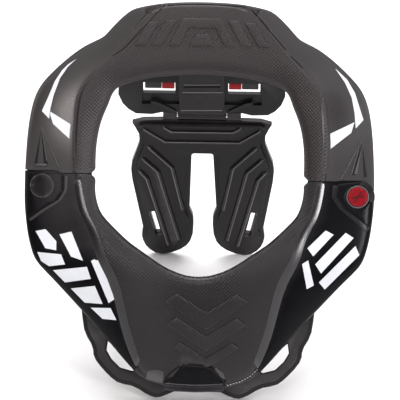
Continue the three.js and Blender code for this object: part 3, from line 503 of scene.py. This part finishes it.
def flat_mesh(name, outline, spacing, place, height, hole=()):
    """A flat filled outline with an even grid of points inside, laid at a height over a plane."""
    points = []
    for k, (x, y) in enumerate(outline):
        nx, ny = outline[(k + 1) % len(outline)]
        steps = max(1, int(math.hypot(nx - x, ny - y) / spacing))
        points += [(x + (nx - x) * s / steps, y + (ny - y) * s / steps) for s in range(steps)]
    rim = len(points)
    edges = [(k, (k + 1) % rim) for k in range(rim)]
    points += hole
    edges += [(rim + k, rim + (k + 1) % len(hole)) for k in range(len(hole))]
    fixed = len(points)
    xs, ys = [p[0] for p in points], [p[1] for p in points]
    y = min(ys) + spacing * 0.7
    row = 0
    while y < max(ys):
        x = min(xs) + spacing * (0.5 if row % 2 else 1.0)
        while x < max(xs):
            if min(math.hypot(x - a, y - b) for a, b in points[:fixed]) > spacing * 0.55:
                points.append((x, y))
            x += spacing
        y += spacing * 0.87
        row += 1
    flat = [Vector(p) for p in points]
    corners, _, faces, _, _, _ = delaunay_2d_cdt(flat, edges, [list(range(rim))], 1, 1e-4)
    if hole:
        middles = [sum((corners[k] for k in f), Vector((0, 0))) / len(f) for f in faces]
        faces = [f for f, middle in zip(faces, middles) if not inside(middle, hole)]
    mesh = bpy.data.meshes.new(name)
    mesh.from_pydata([place @ Vector((c.x, c.y, height)) for c in corners], [], [list(f) for f in faces])
    drop_unused(mesh)
    return new_piece(name, mesh)


def drop_unused(mesh):
    """Removes corners that no face uses."""
    used = {v for face in mesh.polygons for v in face.vertices}
    shape = bmesh.new()
    shape.from_mesh(mesh)
    shape.verts.ensure_lookup_table()
    bmesh.ops.delete(shape, geom=[v for v in shape.verts if v.index not in used], context="VERTS")
    shape.to_mesh(mesh)
    shape.free()


def lay_on(obj, targets, place, lift, thick):
    """Drops every point of a flat mesh straight down onto the targets, then thickens it.
    A point that misses them takes the level of its nearest neighbour that landed."""
    up = normal_of(place)
    landed, missed = [], []
    for vertex in obj.data.vertices:
        best = None
        for target in targets:
            hit, where, _, _ = target.ray_cast(vertex.co, -up)
            if hit and (best is None or (where - vertex.co).length < (best - vertex.co).length):
                best = where
        if best is None:
            missed.append(vertex)
        else:
            vertex.co = best + up * lift * MM
            landed.append(vertex)

    def sideways(first, second):
        apart = first.co - second.co
        return (apart - up * apart.dot(up)).length

    for vertex in missed:
        level = min(landed, key=lambda v: sideways(v, vertex)).co.dot(up)
        vertex.co += up * (level - vertex.co.dot(up))
    face_outwards(obj)
    if sum((p.normal.dot(up) for p in obj.data.polygons)) < 0:
        bpy.ops.object.mode_set(mode="EDIT")
        bpy.ops.mesh.flip_normals()
        bpy.ops.object.mode_set(mode="OBJECT")
    apply_modifier(obj, "SOLIDIFY", thickness=thick * MM, offset=1.0)


def decal(name, outline, targets, body, paint, lift=0.03, thick=0.12, spacing=4.0,
          place=COLLAR, height=30, bevel=0.0, hole=()):
    obj = flat_mesh(name, outline, spacing, place, height, list(hole))
    lay_on(obj, targets, place, lift, thick)
    if bevel:
        apply_modifier(obj, "BEVEL", width=bevel * MM, segments=3, limit_method="ANGLE",
                       angle_limit=math.radians(50), use_clamp_overlap=True)
    soften(obj, 40)
    return finish_piece(obj, body, paint)


def band(line, width):
    """A closed outline of even width along a broken line."""
    sides = []
    for hand in (1, -1):
        side = []
        for k, (x, y) in enumerate(line):
            before = Vector(line[k]) - Vector(line[k - 1]) if k else Vector(line[1]) - Vector(line[0])
            after = Vector(line[k + 1]) - Vector(line[k]) if k + 1 < len(line) else before
            way = (before.normalized() + after.normalized()).normalized()
            side.append((x - way.y * hand * width / 2, y + way.x * hand * width / 2))
        sides.append(side)
    return sides[0] + sides[1][::-1]


def pixels(*places):
    """Points of the collar plane from where they are seen in the picture."""
    return [pixel(*p) for p in places]


def landed(line, targets, place, height, step=1.5):
    """Points along a broken line of a plane, dropped straight onto the targets."""
    up = normal_of(place)
    found = []
    for k, ((ax, ay), (bx, by)) in enumerate(zip(line, line[1:])):
        count = max(1, round(math.hypot(bx - ax, by - ay) / step))
        last = 1 if k == len(line) - 2 else 0
        for n in range(count + last):
            start = place @ Vector((ax + (bx - ax) * n / count, ay + (by - ay) * n / count, height))
            hits = [target.ray_cast(start, -up) for target in targets]
            places = [(where - start).length for hit, where, _, _ in hits if hit]
            if places:
                found.append(start - up * min(places))
    return found, up


def bead(name, line, targets, radius, body, paint, place=COLLAR, height=40, sink=0.45):
    """A fine raised line pressed along a surface: a round bead sunk part of the way in."""
    found, up = landed(line, targets, place, height)
    return tube(name, [p + up * radius * (1 - 2 * sink) * MM for p in found], radius, body, paint)


def tube(name, points, radius, body, paint):
    """A round rod through a row of points, closed at its ends."""
    curve = bpy.data.curves.new(name, "CURVE")
    curve.dimensions = "3D"
    curve.bevel_depth = radius * MM
    curve.bevel_resolution = 2
    curve.use_fill_caps = True
    spline = curve.splines.new("POLY")
    spline.points.add(len(points) - 1)
    for point, where in zip(spline.points, points):
        point.co = (*where, 1)
    obj = new_piece(name, curve)
    pick(obj)
    bpy.ops.object.convert(target="MESH")
    face_outwards(obj, MERGE)
    soften(obj, 60)
    return finish_piece(obj, body, paint)


def height_on(target, x, y):
    """The height of a piece over the collar plane, or None where it isn't."""
    hit, where, _, _ = target.ray_cast(COLLAR @ Vector((x, y, 40)), -normal_of(COLLAR))
    return (COLLAR.inverted() @ where).z if hit else None


def chamfer(name, rows, sizes, side, widths, bulge, skin, cover, body, paint):
    """The bevelled edge between the woven skin and a cover, from the rows of the collar.
    widths gives how far it reaches over the skin and over the cover at the first and last rows."""
    verts, faces = [], []
    shares = (0, 0.25, 0.5, 0.75, 1)
    for k, (nx, ny, ex, ey, crease) in enumerate(rows):
        neck = Vector((nx * NECK_HALF * side, ny * sizes[0]))
        edge = Vector((ex * EDGE_HALF * side, ey * sizes[1]))
        way = (edge - neck).normalized()
        middle = neck + (edge - neck) * crease
        share = k / (len(rows) - 1)
        over_skin, over_cover = (a + (b - a) * share for a, b in widths)
        start, end = middle - way * over_skin, middle + way * over_cover
        high = height_on(skin, start.x, start.y)
        low = height_on(cover, end.x, end.y)
        if high is None or low is None:
            continue
        for s in shares:
            p = start.lerp(end, s)
            z = high + (low - high) * s + bulge * math.sin(math.pi * s) + 0.12
            verts.append(COLLAR @ Vector((p.x, p.y, z)))
        first = len(verts) - 2 * len(shares)
        if first >= 0:
            for j in range(len(shares) - 1):
                a = first + j
                faces.append((a, a + 1, a + 1 + len(shares), a + len(shares)))
    obj = new_mesh(name, verts, faces)
    apply_modifier(obj, "SUBSURF", levels=2, render_levels=2)
    apply_modifier(obj, "SOLIDIFY", thickness=0.5 * MM, offset=0.0)
    face_outwards(obj)
    soften(obj, 60)
    return finish_piece(obj, body, paint)


# Main pieces, each on its own body

REAR, FRONT, FINS = "rear_collar", "front_collar", "thoracic_fins"
rear_skin = dress("rear_chassis", REAR, SKIN, subdivide=1)
front_skin = dress("front_chassis", FRONT, SHADED_FRONT_SKIN, subdivide=1)
covers = {
    name: dress(name, body, paint, subdivide=1)
    for name, body, paint in (
        ("rear_panel_left", REAR, SATIN), ("rear_panel_right", REAR, SATIN),
        ("front_panel_left", FRONT, GLOSS), ("front_panel_right", FRONT, GLOSS),
    )
}
dress("hub_arm", REAR, MOULDED, bevel=0.8)
dress("catch_tongue", REAR, MOULDED, bevel=0.8)
bracket = dress("thoracic_bracket", REAR, MOULDED, bevel=0.7, segments=3)
for side in ("left", "right"):
    dress("adjuster_block_" + side, REAR, MOULDED, bevel=0.6)
    dress("adjuster_pin_" + side, REAR, PIN, bevel=0.4)
dress("strut_hinge_pin", REAR, STEEL, bevel=0.3)
cap = dress("catch_cap", FRONT, SKIN, bevel=0.4)
dress("hub_ring", FRONT, PALE, bevel=0.25)
dress("chest_frame", FRONT, FRAME, bevel=0.8)
badge = dress("chest_badge", FRONT, GLOSS, bevel=0.5)
button = dress("release_button", "button", RED, bevel=0.9, segments=3)
fin_plate = dress("fin_plate", FINS, FIN, bevel=1.0, segments=3)
fin_pad = dress("fin_pad", FINS, FIN, bevel=0.5, segments=2)
chest_foam = dress("chest_foam", FRONT, FOAM, bevel=2.4, segments=4)


CLOTH_FRAMES = 20


def crowned(node, body):
    """A foam cushion swelled as cloth from the CAD block, then fitted back to the block's box."""
    obj = copy_of(node, "look_" + node)
    low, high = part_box(node)
    apply_modifier(obj, "REMESH", mode="VOXEL", voxel_size=0.0045)
    apply_modifier(obj, "SMOOTH", factor=0.5, iterations=6)
    cloth = obj.modifiers.new("cloth", "CLOTH")
    cloth.settings.use_pressure = True
    cloth.settings.uniform_pressure_force = 4
    cloth.settings.effector_weights.gravity = 0
    cloth.point_cache.frame_start = 1
    cloth.point_cache.frame_end = CLOTH_FRAMES
    for frame_number in range(1, CLOTH_FRAMES + 1):
        bpy.context.scene.frame_set(frame_number)
    pick(obj)
    bpy.ops.object.modifier_apply(modifier=cloth.name)
    bpy.context.scene.frame_set(1)
    apply_modifier(obj, "SUBSURF", levels=1, render_levels=1)
    now_low = Vector([min(v.co[k] for v in obj.data.vertices) for k in range(3)])
    now_high = Vector([max(v.co[k] for v in obj.data.vertices) for k in range(3)])
    for vertex in obj.data.vertices:
        for k in range(3):
            share = (vertex.co[k] - now_low[k]) / (now_high[k] - now_low[k])
            vertex.co[k] = low[k] + share * (high[k] - low[k])
    soften(obj, 80)
    finish_piece(obj, body, FOAM, replaces=node)


for side in ("left", "right"):
    crowned("shoulder_pad_" + side, REAR)
    crowned("collarbone_pad_" + side, FRONT)

# Bevelled edges of the woven skin along the covers
for side, word in ((-1, "left"), (1, "right")):
    chamfer("rear_chamfer_" + word, REAR_ROWS, REAR_SIZES, side, ((2.0, 4.2), (2.0, 3.0)), -0.25,
            rear_skin, covers["rear_panel_" + word], REAR, SATIN)
    chamfer("front_chamfer_" + word, FRONT_ROWS, FRONT_SIZES, side, ((5.5, 4.0), (2.5, 2.2)), 0.3,
            front_skin, covers["front_panel_" + word], FRONT, BEVEL)

# White flashes on the rear covers
FLASHES = {
    "flash_left_long": pixels((74, 60.5), (66, 66), (60, 72), (53, 83), (47, 98), (40.5, 113),
                              (47.8, 120.5), (49, 110), (52, 97), (58, 80), (66, 68)),
    "flash_left_short": pixels((49, 113.5), (71.4, 127), (72.7, 144), (52, 125.6), (49, 117)),
    "flash_right_long": pixels((333, 66), (345, 77), (353, 90), (362, 117), (354.5, 125.6), (353, 110),
                               (350, 95), (343, 80)),
    "flash_right_short": pixels((353, 119.5), (350, 130), (327.7, 148), (329, 131.4)),
}
for name, outline in FLASHES.items():
    target = covers["rear_panel_left" if "left" in name else "rear_panel_right"]
    decal(name, outline, [target], REAR, WHITE)

# Slanted white bars on the front covers
LEFT_BARS = [
    [(36, 233), (46, 231), (57, 243), (57, 252), (46, 250)],
    [(38, 254), (62, 256), (66, 266), (50, 268), (42, 263)],
    [(60, 236), (72, 233), (84, 262), (72, 258)],
    [(54, 272), (88, 268), (92, 280), (66, 284)],
    [(92, 262), (100, 258), (116, 300), (110, 304)],
    [(72, 290), (96, 287), (104, 305), (86, 304)],
    [(92, 309), (112, 309), (118, 321), (104, 320)],
]
RIGHT_BARS = [
    [(308, 246), (326, 228), (334, 232), (314, 254)],
    [(316, 262), (346, 230), (354, 235), (322, 271)],
    [(320, 280), (356, 243), (360, 252), (326, 287)],
    [(303, 262), (309, 258), (315, 283), (308, 287)],
]
for word, bars in (("left", LEFT_BARS), ("right", RIGHT_BARS)):
    for k, bar in enumerate(bars):
        decal(f"bar_{word}_{k}", pixels(*bar), [covers["front_panel_" + word]], FRONT, WHITE)

# Raised pressed bars on the platform and the chest
PLATFORM = [
    [(132, 46), (146, 22), (157, 22), (143, 46)],
    [(149, 46), (163, 20), (174, 20), (160, 46)],
    [(166, 46), (180, 18), (219, 18), (233, 46), (222, 46), (213, 28), (186, 28), (177, 46)],
    [(239, 46), (225, 20), (236, 20), (250, 46)],
    [(256, 46), (242, 22), (253, 22), (267, 46)],
    [(186, 46), (193, 34), (206, 34), (213, 46)],
]
for k, shape in enumerate(PLATFORM):
    decal(f"platform_bar_{k}", pixels(*shape), [rear_skin], REAR, SKIN, thick=1.7,
          lift=-0.1, bevel=0.75)
CHEST = [
    [(178, 293), (208, 312), (238, 293), (250, 301), (208, 329), (166, 301)],
    [(178, 317), (208, 336), (238, 317), (248, 324), (208, 351), (168, 324)],
    [(182, 342), (208, 358), (234, 342), (241, 347), (208, 368), (175, 347)],
]
for k, shape in enumerate(CHEST):
    decal(f"chest_bar_{k}", pixels(*shape), [front_skin], FRONT, SHADED_FRONT_SKIN,
          thick=1.5, lift=-0.1, bevel=0.7)


def circle(x, y, radius, count=40, start=0.0, end=360.0):
    """Points round an arc of the collar plane, without its last one."""
    return [
        (x + radius * math.cos(math.radians(start + (end - start) * k / count)),
         y + radius * math.sin(math.radians(start + (end - start) * k / count)))
        for k in range(count)
    ]


# Raised bosses round the hub and the cap, with bevelled edges
HUB = (132.8, -13.4)
CAP = (-132.0, -8.0)
HUB_HOLE = 9.9
RIGHT_SLOPE = [(335.5, 183), (334.5, 194), (341, 204), (352, 213), (368, 227)]
LEFT_SLOPE = [(66, 178), (65.5, 192), (60, 201.5), (45, 211), (30, 222)]
right_boss = pixels((337.5, 181.5), (336, 194), (344, 206), (370, 225)) + [
    (144.8, -30.0), (145.0, -18.0)] + circle(*HUB, 12.4, count=9, start=5, end=100)
left_boss = pixels((27, 221), (59, 201), (64, 192), (64, 177)) + [(-119.0, 3.4), (-144.4, 3.4)]
decal("boss_right", right_boss, [covers["front_panel_right"]], FRONT, GLOSS, thick=1.5, lift=-0.2,
      spacing=3.0, bevel=1.2, hole=circle(*HUB, HUB_HOLE))
decal("boss_left", left_boss, [covers["front_panel_left"], cap], FRONT, GLOSS, thick=1.1, lift=-0.2,
      spacing=3.0, bevel=0.8)
# A ring of painted highlight round the cap's rim, under the cap's gloss face
decal("cap_line", circle(*CAP, 9.9), [bpy.data.objects["boss_left"]], FRONT, GLINT_PAINT, thick=0.1,
      spacing=2.0)
decal("cap_face", circle(*CAP, 9.45), [bpy.data.objects["boss_left"]], FRONT, GLOSS,
      thick=0.3, spacing=2.0)
# Painted highlight: the bevelled slopes of the bosses take paints lighter than the gloss cover, for their lit
# faces
decal("boss_slope_right", band(pixels(*RIGHT_SLOPE), 5.0),
      [covers["front_panel_right"]], FRONT, MOULDED, thick=0.5, lift=-0.1, spacing=3.0, bevel=0.3)
decal("boss_slope_left", band(pixels(*LEFT_SLOPE), 2.4),
      [covers["front_panel_left"]], FRONT, FRAME, thick=0.5, lift=-0.1, spacing=3.0, bevel=0.3)

# Three short bars on the release button in darker red: painted shade of pressed bars
BUTTON_BARS = [(0.0, 0.0, 8, 10.5), (1.8, 2.4, 62, 5.0), (-1.6, -2.4, 62, 4.6)]
for k, (x, y, turn, length) in enumerate(BUTTON_BARS):
    a = math.radians(turn)
    dx, dy = math.cos(a) * length / 2, math.sin(a) * length / 2
    line = [(HUB[0] + x - dx, HUB[1] + y - dy), (HUB[0] + x + dx, HUB[1] + y + dy)]
    decal(f"button_bar_{k}", band(line, 1.1), [button], "button", PRESSING_SHADE, thick=0.25,
          lift=0.0, spacing=2.0)

# Recesses fanning up from the split on the rear covers: painted shade for the recesses, raised rays beside
# them, and painted highlight on a ledge and a glint
SLIVERS = {
    "sliver_left_a": [(40, 129), (47.5, 166), (43.5, 166.5)],
    "sliver_left_b": [(40, 131), (36.5, 167), (33.5, 167)],
    "sliver_right_a": [(361, 139), (355, 172), (351, 172)],
    "sliver_right_b": [(361.5, 143), (366.5, 174), (363, 174)],
}
RAYS = {
    "ray_left_a": [(41, 131), (59.5, 171.5)],
    "ray_left_b": [(40.2, 128), (46.2, 163)],
    "ray_right_a": [(360, 139), (340.5, 177)],
    "ray_right_b": [(357.5, 147), (350.5, 172)],
}
for name, shape in SLIVERS.items():
    word = "left" if "left" in name else "right"
    decal(name, pixels(*shape), [covers["rear_panel_" + word]], REAR, SHADE_PAINT, thick=0.1, spacing=3.0)
for name, line in RAYS.items():
    word = "left" if "left" in name else "right"
    decal(name, band(pixels(*line), 0.9), [covers["rear_panel_" + word]], REAR, BEVEL, thick=0.5, spacing=3.0,
          bevel=0.3)
LEDGE = [(34.5, 165.8), (46.5, 165.8), (44.5, 168), (34.2, 168)]
GLINT = [(360.5, 146), (356.6, 171), (353.6, 171)]
decal("ledge_left", pixels(*LEDGE), [covers["rear_panel_left"]], REAR, GLINT_PAINT, thick=0.5, spacing=3.0,
      bevel=0.2)
decal("glint_right", pixels(*GLINT), [covers["rear_panel_right"]], REAR, GLINT_PAINT, thick=0.2, spacing=3.0)


def end_wall(name, line, targets, body, low=-15.6, clear=1.1, step=2.0, ledge=0.0, ledge_end=200.0):
    """A thin wall that closes the hollow of the collar at a split, up to just under its surface.
    A ledge at its foot laps under the other half as far out as ledge_end."""
    verts, faces, foot = [], [], []
    for (ax, ay), (bx, by) in zip(line, line[1:]):
        count = max(1, round(math.hypot(bx - ax, by - ay) / step))
        for n in range(count + 1):
            x, y = ax + (bx - ax) * n / count, ay + (by - ay) * n / count
            tops = [h for h in (height_on(target, x, y) for target in targets) if h is not None]
            if not tops or max(tops) - clear < low + 1:
                continue
            verts += [COLLAR @ Vector((x, y, low)), COLLAR @ Vector((x, y, max(tops) - clear))]
            first = len(verts) - 4
            if first >= 0:
                faces.append((first, first + 2, first + 3, first + 1))
            if ledge and x < ledge_end:
                foot.append((len(verts) - 2, COLLAR @ Vector((x, y - ledge, low))))
    for (a, near), (b, far) in zip(foot, foot[1:]):
        faces.append((a, b, len(verts) + 1, len(verts)))
        verts += [near, far]
    obj = new_mesh(name, verts, faces)
    face_outwards(obj, WALL_MERGE)
    apply_modifier(obj, "SOLIDIFY", thickness=1.3 * MM, offset=0.0)
    soften(obj, 30)
    return finish_piece(obj, body, MOULDED)


# Walls that close the hollow collar at the two splits, with lines along the split, and a hub shroud
LEFT_REAR = [rear_skin, covers["rear_panel_left"]]
RIGHT_REAR = [rear_skin, covers["rear_panel_right"]]
LEFT_FRONT = [front_skin, covers["front_panel_left"]]
RIGHT_FRONT = [front_skin, covers["front_panel_right"]]
REAR_LEFT_LINE = [(-145.2, 6.8), (-120.5, 6.8), (-116, 4.4), (-90.5, 4.4)]
REAR_RIGHT_LINE = [(90.5, 0.8), (115.5, 0.8), (119.5, 3.2), (145, 3.2)]
FRONT_LEFT_LINE = [(-145.2, 3.0), (-120.5, 3.0), (-116, 0.8), (-91.0, 0.8)]
FRONT_RIGHT_LINE = [(91.0, -2.8), (116.5, -2.8)]
LAP = 5.0
FRONT_WALL_FOOT = -13.0
end_wall("end_wall_rear_left", REAR_LEFT_LINE, LEFT_REAR, REAR, ledge=LAP)
end_wall("end_wall_rear_right", REAR_RIGHT_LINE, RIGHT_REAR, REAR, ledge=LAP, ledge_end=130.5)
end_wall("end_wall_front_left", FRONT_LEFT_LINE, LEFT_FRONT, FRONT, low=FRONT_WALL_FOOT)
end_wall("end_wall_front_right", FRONT_RIGHT_LINE, RIGHT_FRONT, FRONT, low=FRONT_WALL_FOOT)
SHROUD = circle(*HUB, 14.4, count=12, start=-25, end=85) + circle(*HUB, HUB_HOLE, count=12, start=85, end=-25)
shroud = flat_mesh("hub_shroud", SHROUD, 3.0, COLLAR, 0.0)
apply_modifier(shroud, "SOLIDIFY", thickness=1.2 * MM, offset=0.0)
soften(shroud, 30)
finish_piece(shroud, FRONT, GLOSS)

# Lit facets in painted highlight beside the badge, a crease of painted shade and a rolled bar with a painted
# highlight line at the badge, and a stitched seam at the foot of the chest
LEFT_FACET = [(150, 371), (160, 370.5), (166, 372), (165.5, 383.5), (158, 382), (148, 379.5)]
RIGHT_FACET = [(213, 366.8), (219, 367), (226, 373.5), (229, 384), (226.5, 385), (219.5, 375.5)]
BADGE_CREASE = [(166.5, 383), (168, 379), (172.5, 373.5), (180, 367.3), (188, 365.8), (205, 366.4),
                (213, 368.6), (220, 374.5), (225.5, 380.5), (227, 384)]
ROLL_LINE = [(166.5, 386.8), (180, 388.2), (197, 388.8), (213, 388.2), (226, 386.8)]
ROLL_EDGE = [(167, 383.6), (180, 384.8), (197, 385.4), (213, 384.8), (225.5, 383.6)]
SEAM = [(230, 385), (242, 381.3), (252.5, 375.5), (259.5, 368.5)]
decal("facet_left", pixels(*LEFT_FACET), [front_skin], FRONT, GLINT_PAINT,
      thick=0.7, lift=-0.2, bevel=0.45, spacing=3.0)
decal("facet_right", pixels(*RIGHT_FACET), [front_skin], FRONT, GLINT_PAINT,
      thick=1.1, lift=-0.2, bevel=0.4, spacing=3.0)
CHEST_FOOT = [front_skin, badge]
bead("badge_crease", pixels(*BADGE_CREASE), CHEST_FOOT, 0.9, FRONT, SHADE_PAINT, sink=0.4)
foot_level = height_on(badge, *pixel(197, 381))
for name, drop, radius, paint, row in (
    ("badge_roll", -2.6, 3.1, GLOSS, ROLL_LINE),
    ("badge_roll_line", -0.4, 0.5, GLINT_PAINT, ROLL_EDGE),
):
    points = [COLLAR @ Vector((*pixel(x, y), foot_level + drop)) for x, y in row]
    tube(name, points, radius, FRONT, paint)


def stitches(name, line, targets, body, step=2.6, length=1.7, radius=0.5):
    """A run of short thread stitches laid on a surface along a broken line of the collar plane."""
    places = []
    rest = 0.0
    for (ax, ay), (bx, by) in zip(line, line[1:]):
        reach = math.hypot(bx - ax, by - ay)
        turn = math.atan2(by - ay, bx - ax)
        while rest < reach:
            places.append((ax + (bx - ax) * rest / reach, ay + (by - ay) * rest / reach, turn))
            rest += step
        rest -= reach
    made = []
    for x, y, turn in places:
        heights = [h for h in (height_on(t, x, y) for t in targets) if h is not None]
        if not heights:
            continue
        bpy.ops.mesh.primitive_uv_sphere_add(segments=8, ring_count=6, radius=1)
        stitch = bpy.context.object
        stitch.data.transform(
            COLLAR
            @ Matrix.Translation((x, y, max(heights) + radius * 0.3))
            @ Matrix.Rotation(turn + random.uniform(-0.08, 0.08), 4, "Z")
            @ Matrix.Diagonal((length / 2, radius, radius, 1))
        )
        made.append(stitch)
    bpy.ops.object.select_all(action="DESELECT")
    for stitch in made:
        stitch.select_set(True)
    bpy.context.view_layer.objects.active = made[0]
    bpy.ops.object.join()
    obj = bpy.context.object
    obj.name = name
    soften(obj, 80)
    return finish_piece(obj, body, THREAD)


stitches("seam_right", pixels(*SEAM), [front_skin], FRONT)

# Lines along the fins' ribs: a bead of painted highlight on the lit edge and a bead of painted shade at the
# foot of every rib
FIN_HALF, FIN_LONG = 60.7, 188
FIN_TARGETS = [fin_pad, fin_plate]
FIN_RIBS = {
    "inner": [(0.753, 0.203), (0.426, 0.348), (0.283, 0.65)],
    "middle": [(0.836, 0.287), (0.623, 0.38), (0.34, 0.87)],
    "outer": [(0.885, 0.375), (0.782, 0.431), (0.49, 0.91)],
}
CROSS_LINES = {
    "low": [(-0.82, 0.078), (-0.522, 0.166), (0.522, 0.166), (0.82, 0.078)],
    "high": [(-0.545, 0.062), (-0.427, 0.094), (0.427, 0.094), (0.545, 0.062)],
}


def fin_places(rows, side=1, shift=(0, 0)):
    """Places on the fins from shares of their half width and length, moved sideways and up."""
    return [(side * (across * FIN_HALF + shift[0]), -down * FIN_LONG + shift[1]) for across, down in rows]


for word, rows in FIN_RIBS.items():
    for hand, side in (("left", -1), ("right", 1)):
        bead(f"fin_line_{word}_{hand}", fin_places(rows, side, (0.9, 0.5)), FIN_TARGETS, 0.42, FINS,
             HIGHLIGHT_PAINT, place=STRUT)
        bead(f"fin_shade_{word}_{hand}", fin_places(rows, side, (-2.0, -0.8)), FIN_TARGETS, 0.6, FINS,
             SHADE_PAINT, place=STRUT, sink=0.6)
for word, rows in CROSS_LINES.items():
    bead(f"fin_line_cross_{word}", fin_places(rows, 1, (0, 0.9)), FIN_TARGETS, 0.42, FINS, HIGHLIGHT_PAINT,
         place=STRUT)
    bead(f"fin_shade_cross_{word}", fin_places(rows, 1, (0, -2.2)), FIN_TARGETS, 0.6, FINS, SHADE_PAINT,
         place=STRUT, sink=0.6)

# Lines on the bracket's middle panel: beads of painted highlight and a band of painted shade
BRACKET_VIEW = view_plane(45)
for name, line, radius, paint in (
    ("panel_line_high", [(184, 85.2), (220, 85.2)], 0.45, HIGHLIGHT_PAINT),
    ("panel_shade", [(184, 87.4), (220, 87.4)], 0.9, SHADE_PAINT),
    ("panel_line_low", [(182, 92.6), (223, 92.6)], 0.45, HIGHLIGHT_PAINT),
    ("panel_foot", [(181, 110.2), (222, 110.2)], 0.45, HIGHLIGHT_PAINT),
):
    bead(name, seen(*line), [bracket], radius, REAR, paint, place=BRACKET_VIEW, height=120)

# Painted shade along the creases beside the rear platform and the seam over it
for name, line in (
    ("platform_crease_left", [(162, 5), (141, 28), (121, 50), (110, 57)]),
    ("platform_crease_right", [(249, 9), (270, 33), (290, 56), (305, 70)]),
    ("platform_seam", [(165, 5.5), (182, 4.4), (200, 4), (222, 4.6), (243, 6)]),
):
    bead(name, pixels(*line), [rear_skin, *covers.values()], 0.45, REAR, SHADE_PAINT, sink=0.55)

# Camera, lights and floor


def stage_scene():
    bpy.ops.mesh.primitive_plane_add(size=12, location=(0, 0, -0.0003))
    floor = bpy.context.object
    floor.name = "floor"
    paint = bpy.data.materials.new("floor_paint")
    paint.use_nodes = True
    shader = paint.node_tree.nodes["Principled BSDF"]
    shader.inputs["Base Color"].default_value = (0.88, 0.88, 0.88, 1)
    shader.inputs["Roughness"].default_value = 0.9
    shader.inputs["Specular IOR Level"].default_value = 0.1
    floor.data.materials.append(paint)
    world = bpy.data.worlds.new("studio")
    bpy.context.scene.world = world
    world.use_nodes = True
    world.node_tree.nodes["Background"].inputs["Color"].default_value = (0.95, 0.96, 1, 1)
    world.node_tree.nodes["Background"].inputs["Strength"].default_value = 0.1


def lamp(name, place, aim, size, power, tint=(1, 1, 1)):
    data = bpy.data.lights.new(name, "AREA")
    data.shape = "RECTANGLE"
    data.size, data.size_y = size
    data.energy = power
    data.color = tint
    obj = bpy.data.objects.new(name, data)
    obj.location = place
    obj.rotation_euler = (Vector(aim) - Vector(place)).to_track_quat("-Z", "Y").to_euler()
    bpy.context.scene.collection.objects.link(obj)


def set_camera():
    data = bpy.data.cameras.new("camera")
    camera = bpy.data.objects.new("camera", data)
    data.sensor_width = 36
    data.lens = 36 * REACH / SPAN
    camera.location = AIM + FACING * REACH
    camera.rotation_euler = (-FACING).to_track_quat("-Z", "Y").to_euler()
    bpy.context.scene.collection.objects.link(camera)
    bpy.context.scene.camera = camera
    bpy.context.scene.view_settings.view_transform = "Standard"


stage_scene()
set_camera()
lamp("top", (0, 0.6, 2.4), (0, 0.1, 0), (2.8, 1.8), 92)
lamp("front_floor", (0, -1.6, 2.6), (0, -0.7, 0), (2.6, 0.5), 18)
lamp("side_left", (-1.5, 0.1, 0.75), (0, 0.02, 0.2), (0.6, 1.2), 11, (1, 0.95, 0.92))
lamp("side_right", (1.5, 0.0, 0.7), (0, 0.02, 0.18), (0.6, 1.2), 13, (1, 0.96, 1))
lamp("sheen_left", (-0.61, -1.86, 1.71), (0, 0, 0.18), (0.34, 0.6), 10.5, (1, 0.92, 0.9))
lamp("sheen_right", (0.46, -1.82, 1.79), (0, 0, 0.18), (0.25, 0.3), 0.7, (1, 0.95, 0.98))
lamp("edge_right", (1.45, -1.79, 1.16), (0, 0, 0.18), (0.45, 0.6), 25.0, (1, 0.97, 1))
lamp("low_front", (0, -2.3, 1.2), (0, 0, 0.2), (0.5, 0.3), 1.6, (1, 0.96, 0.96))
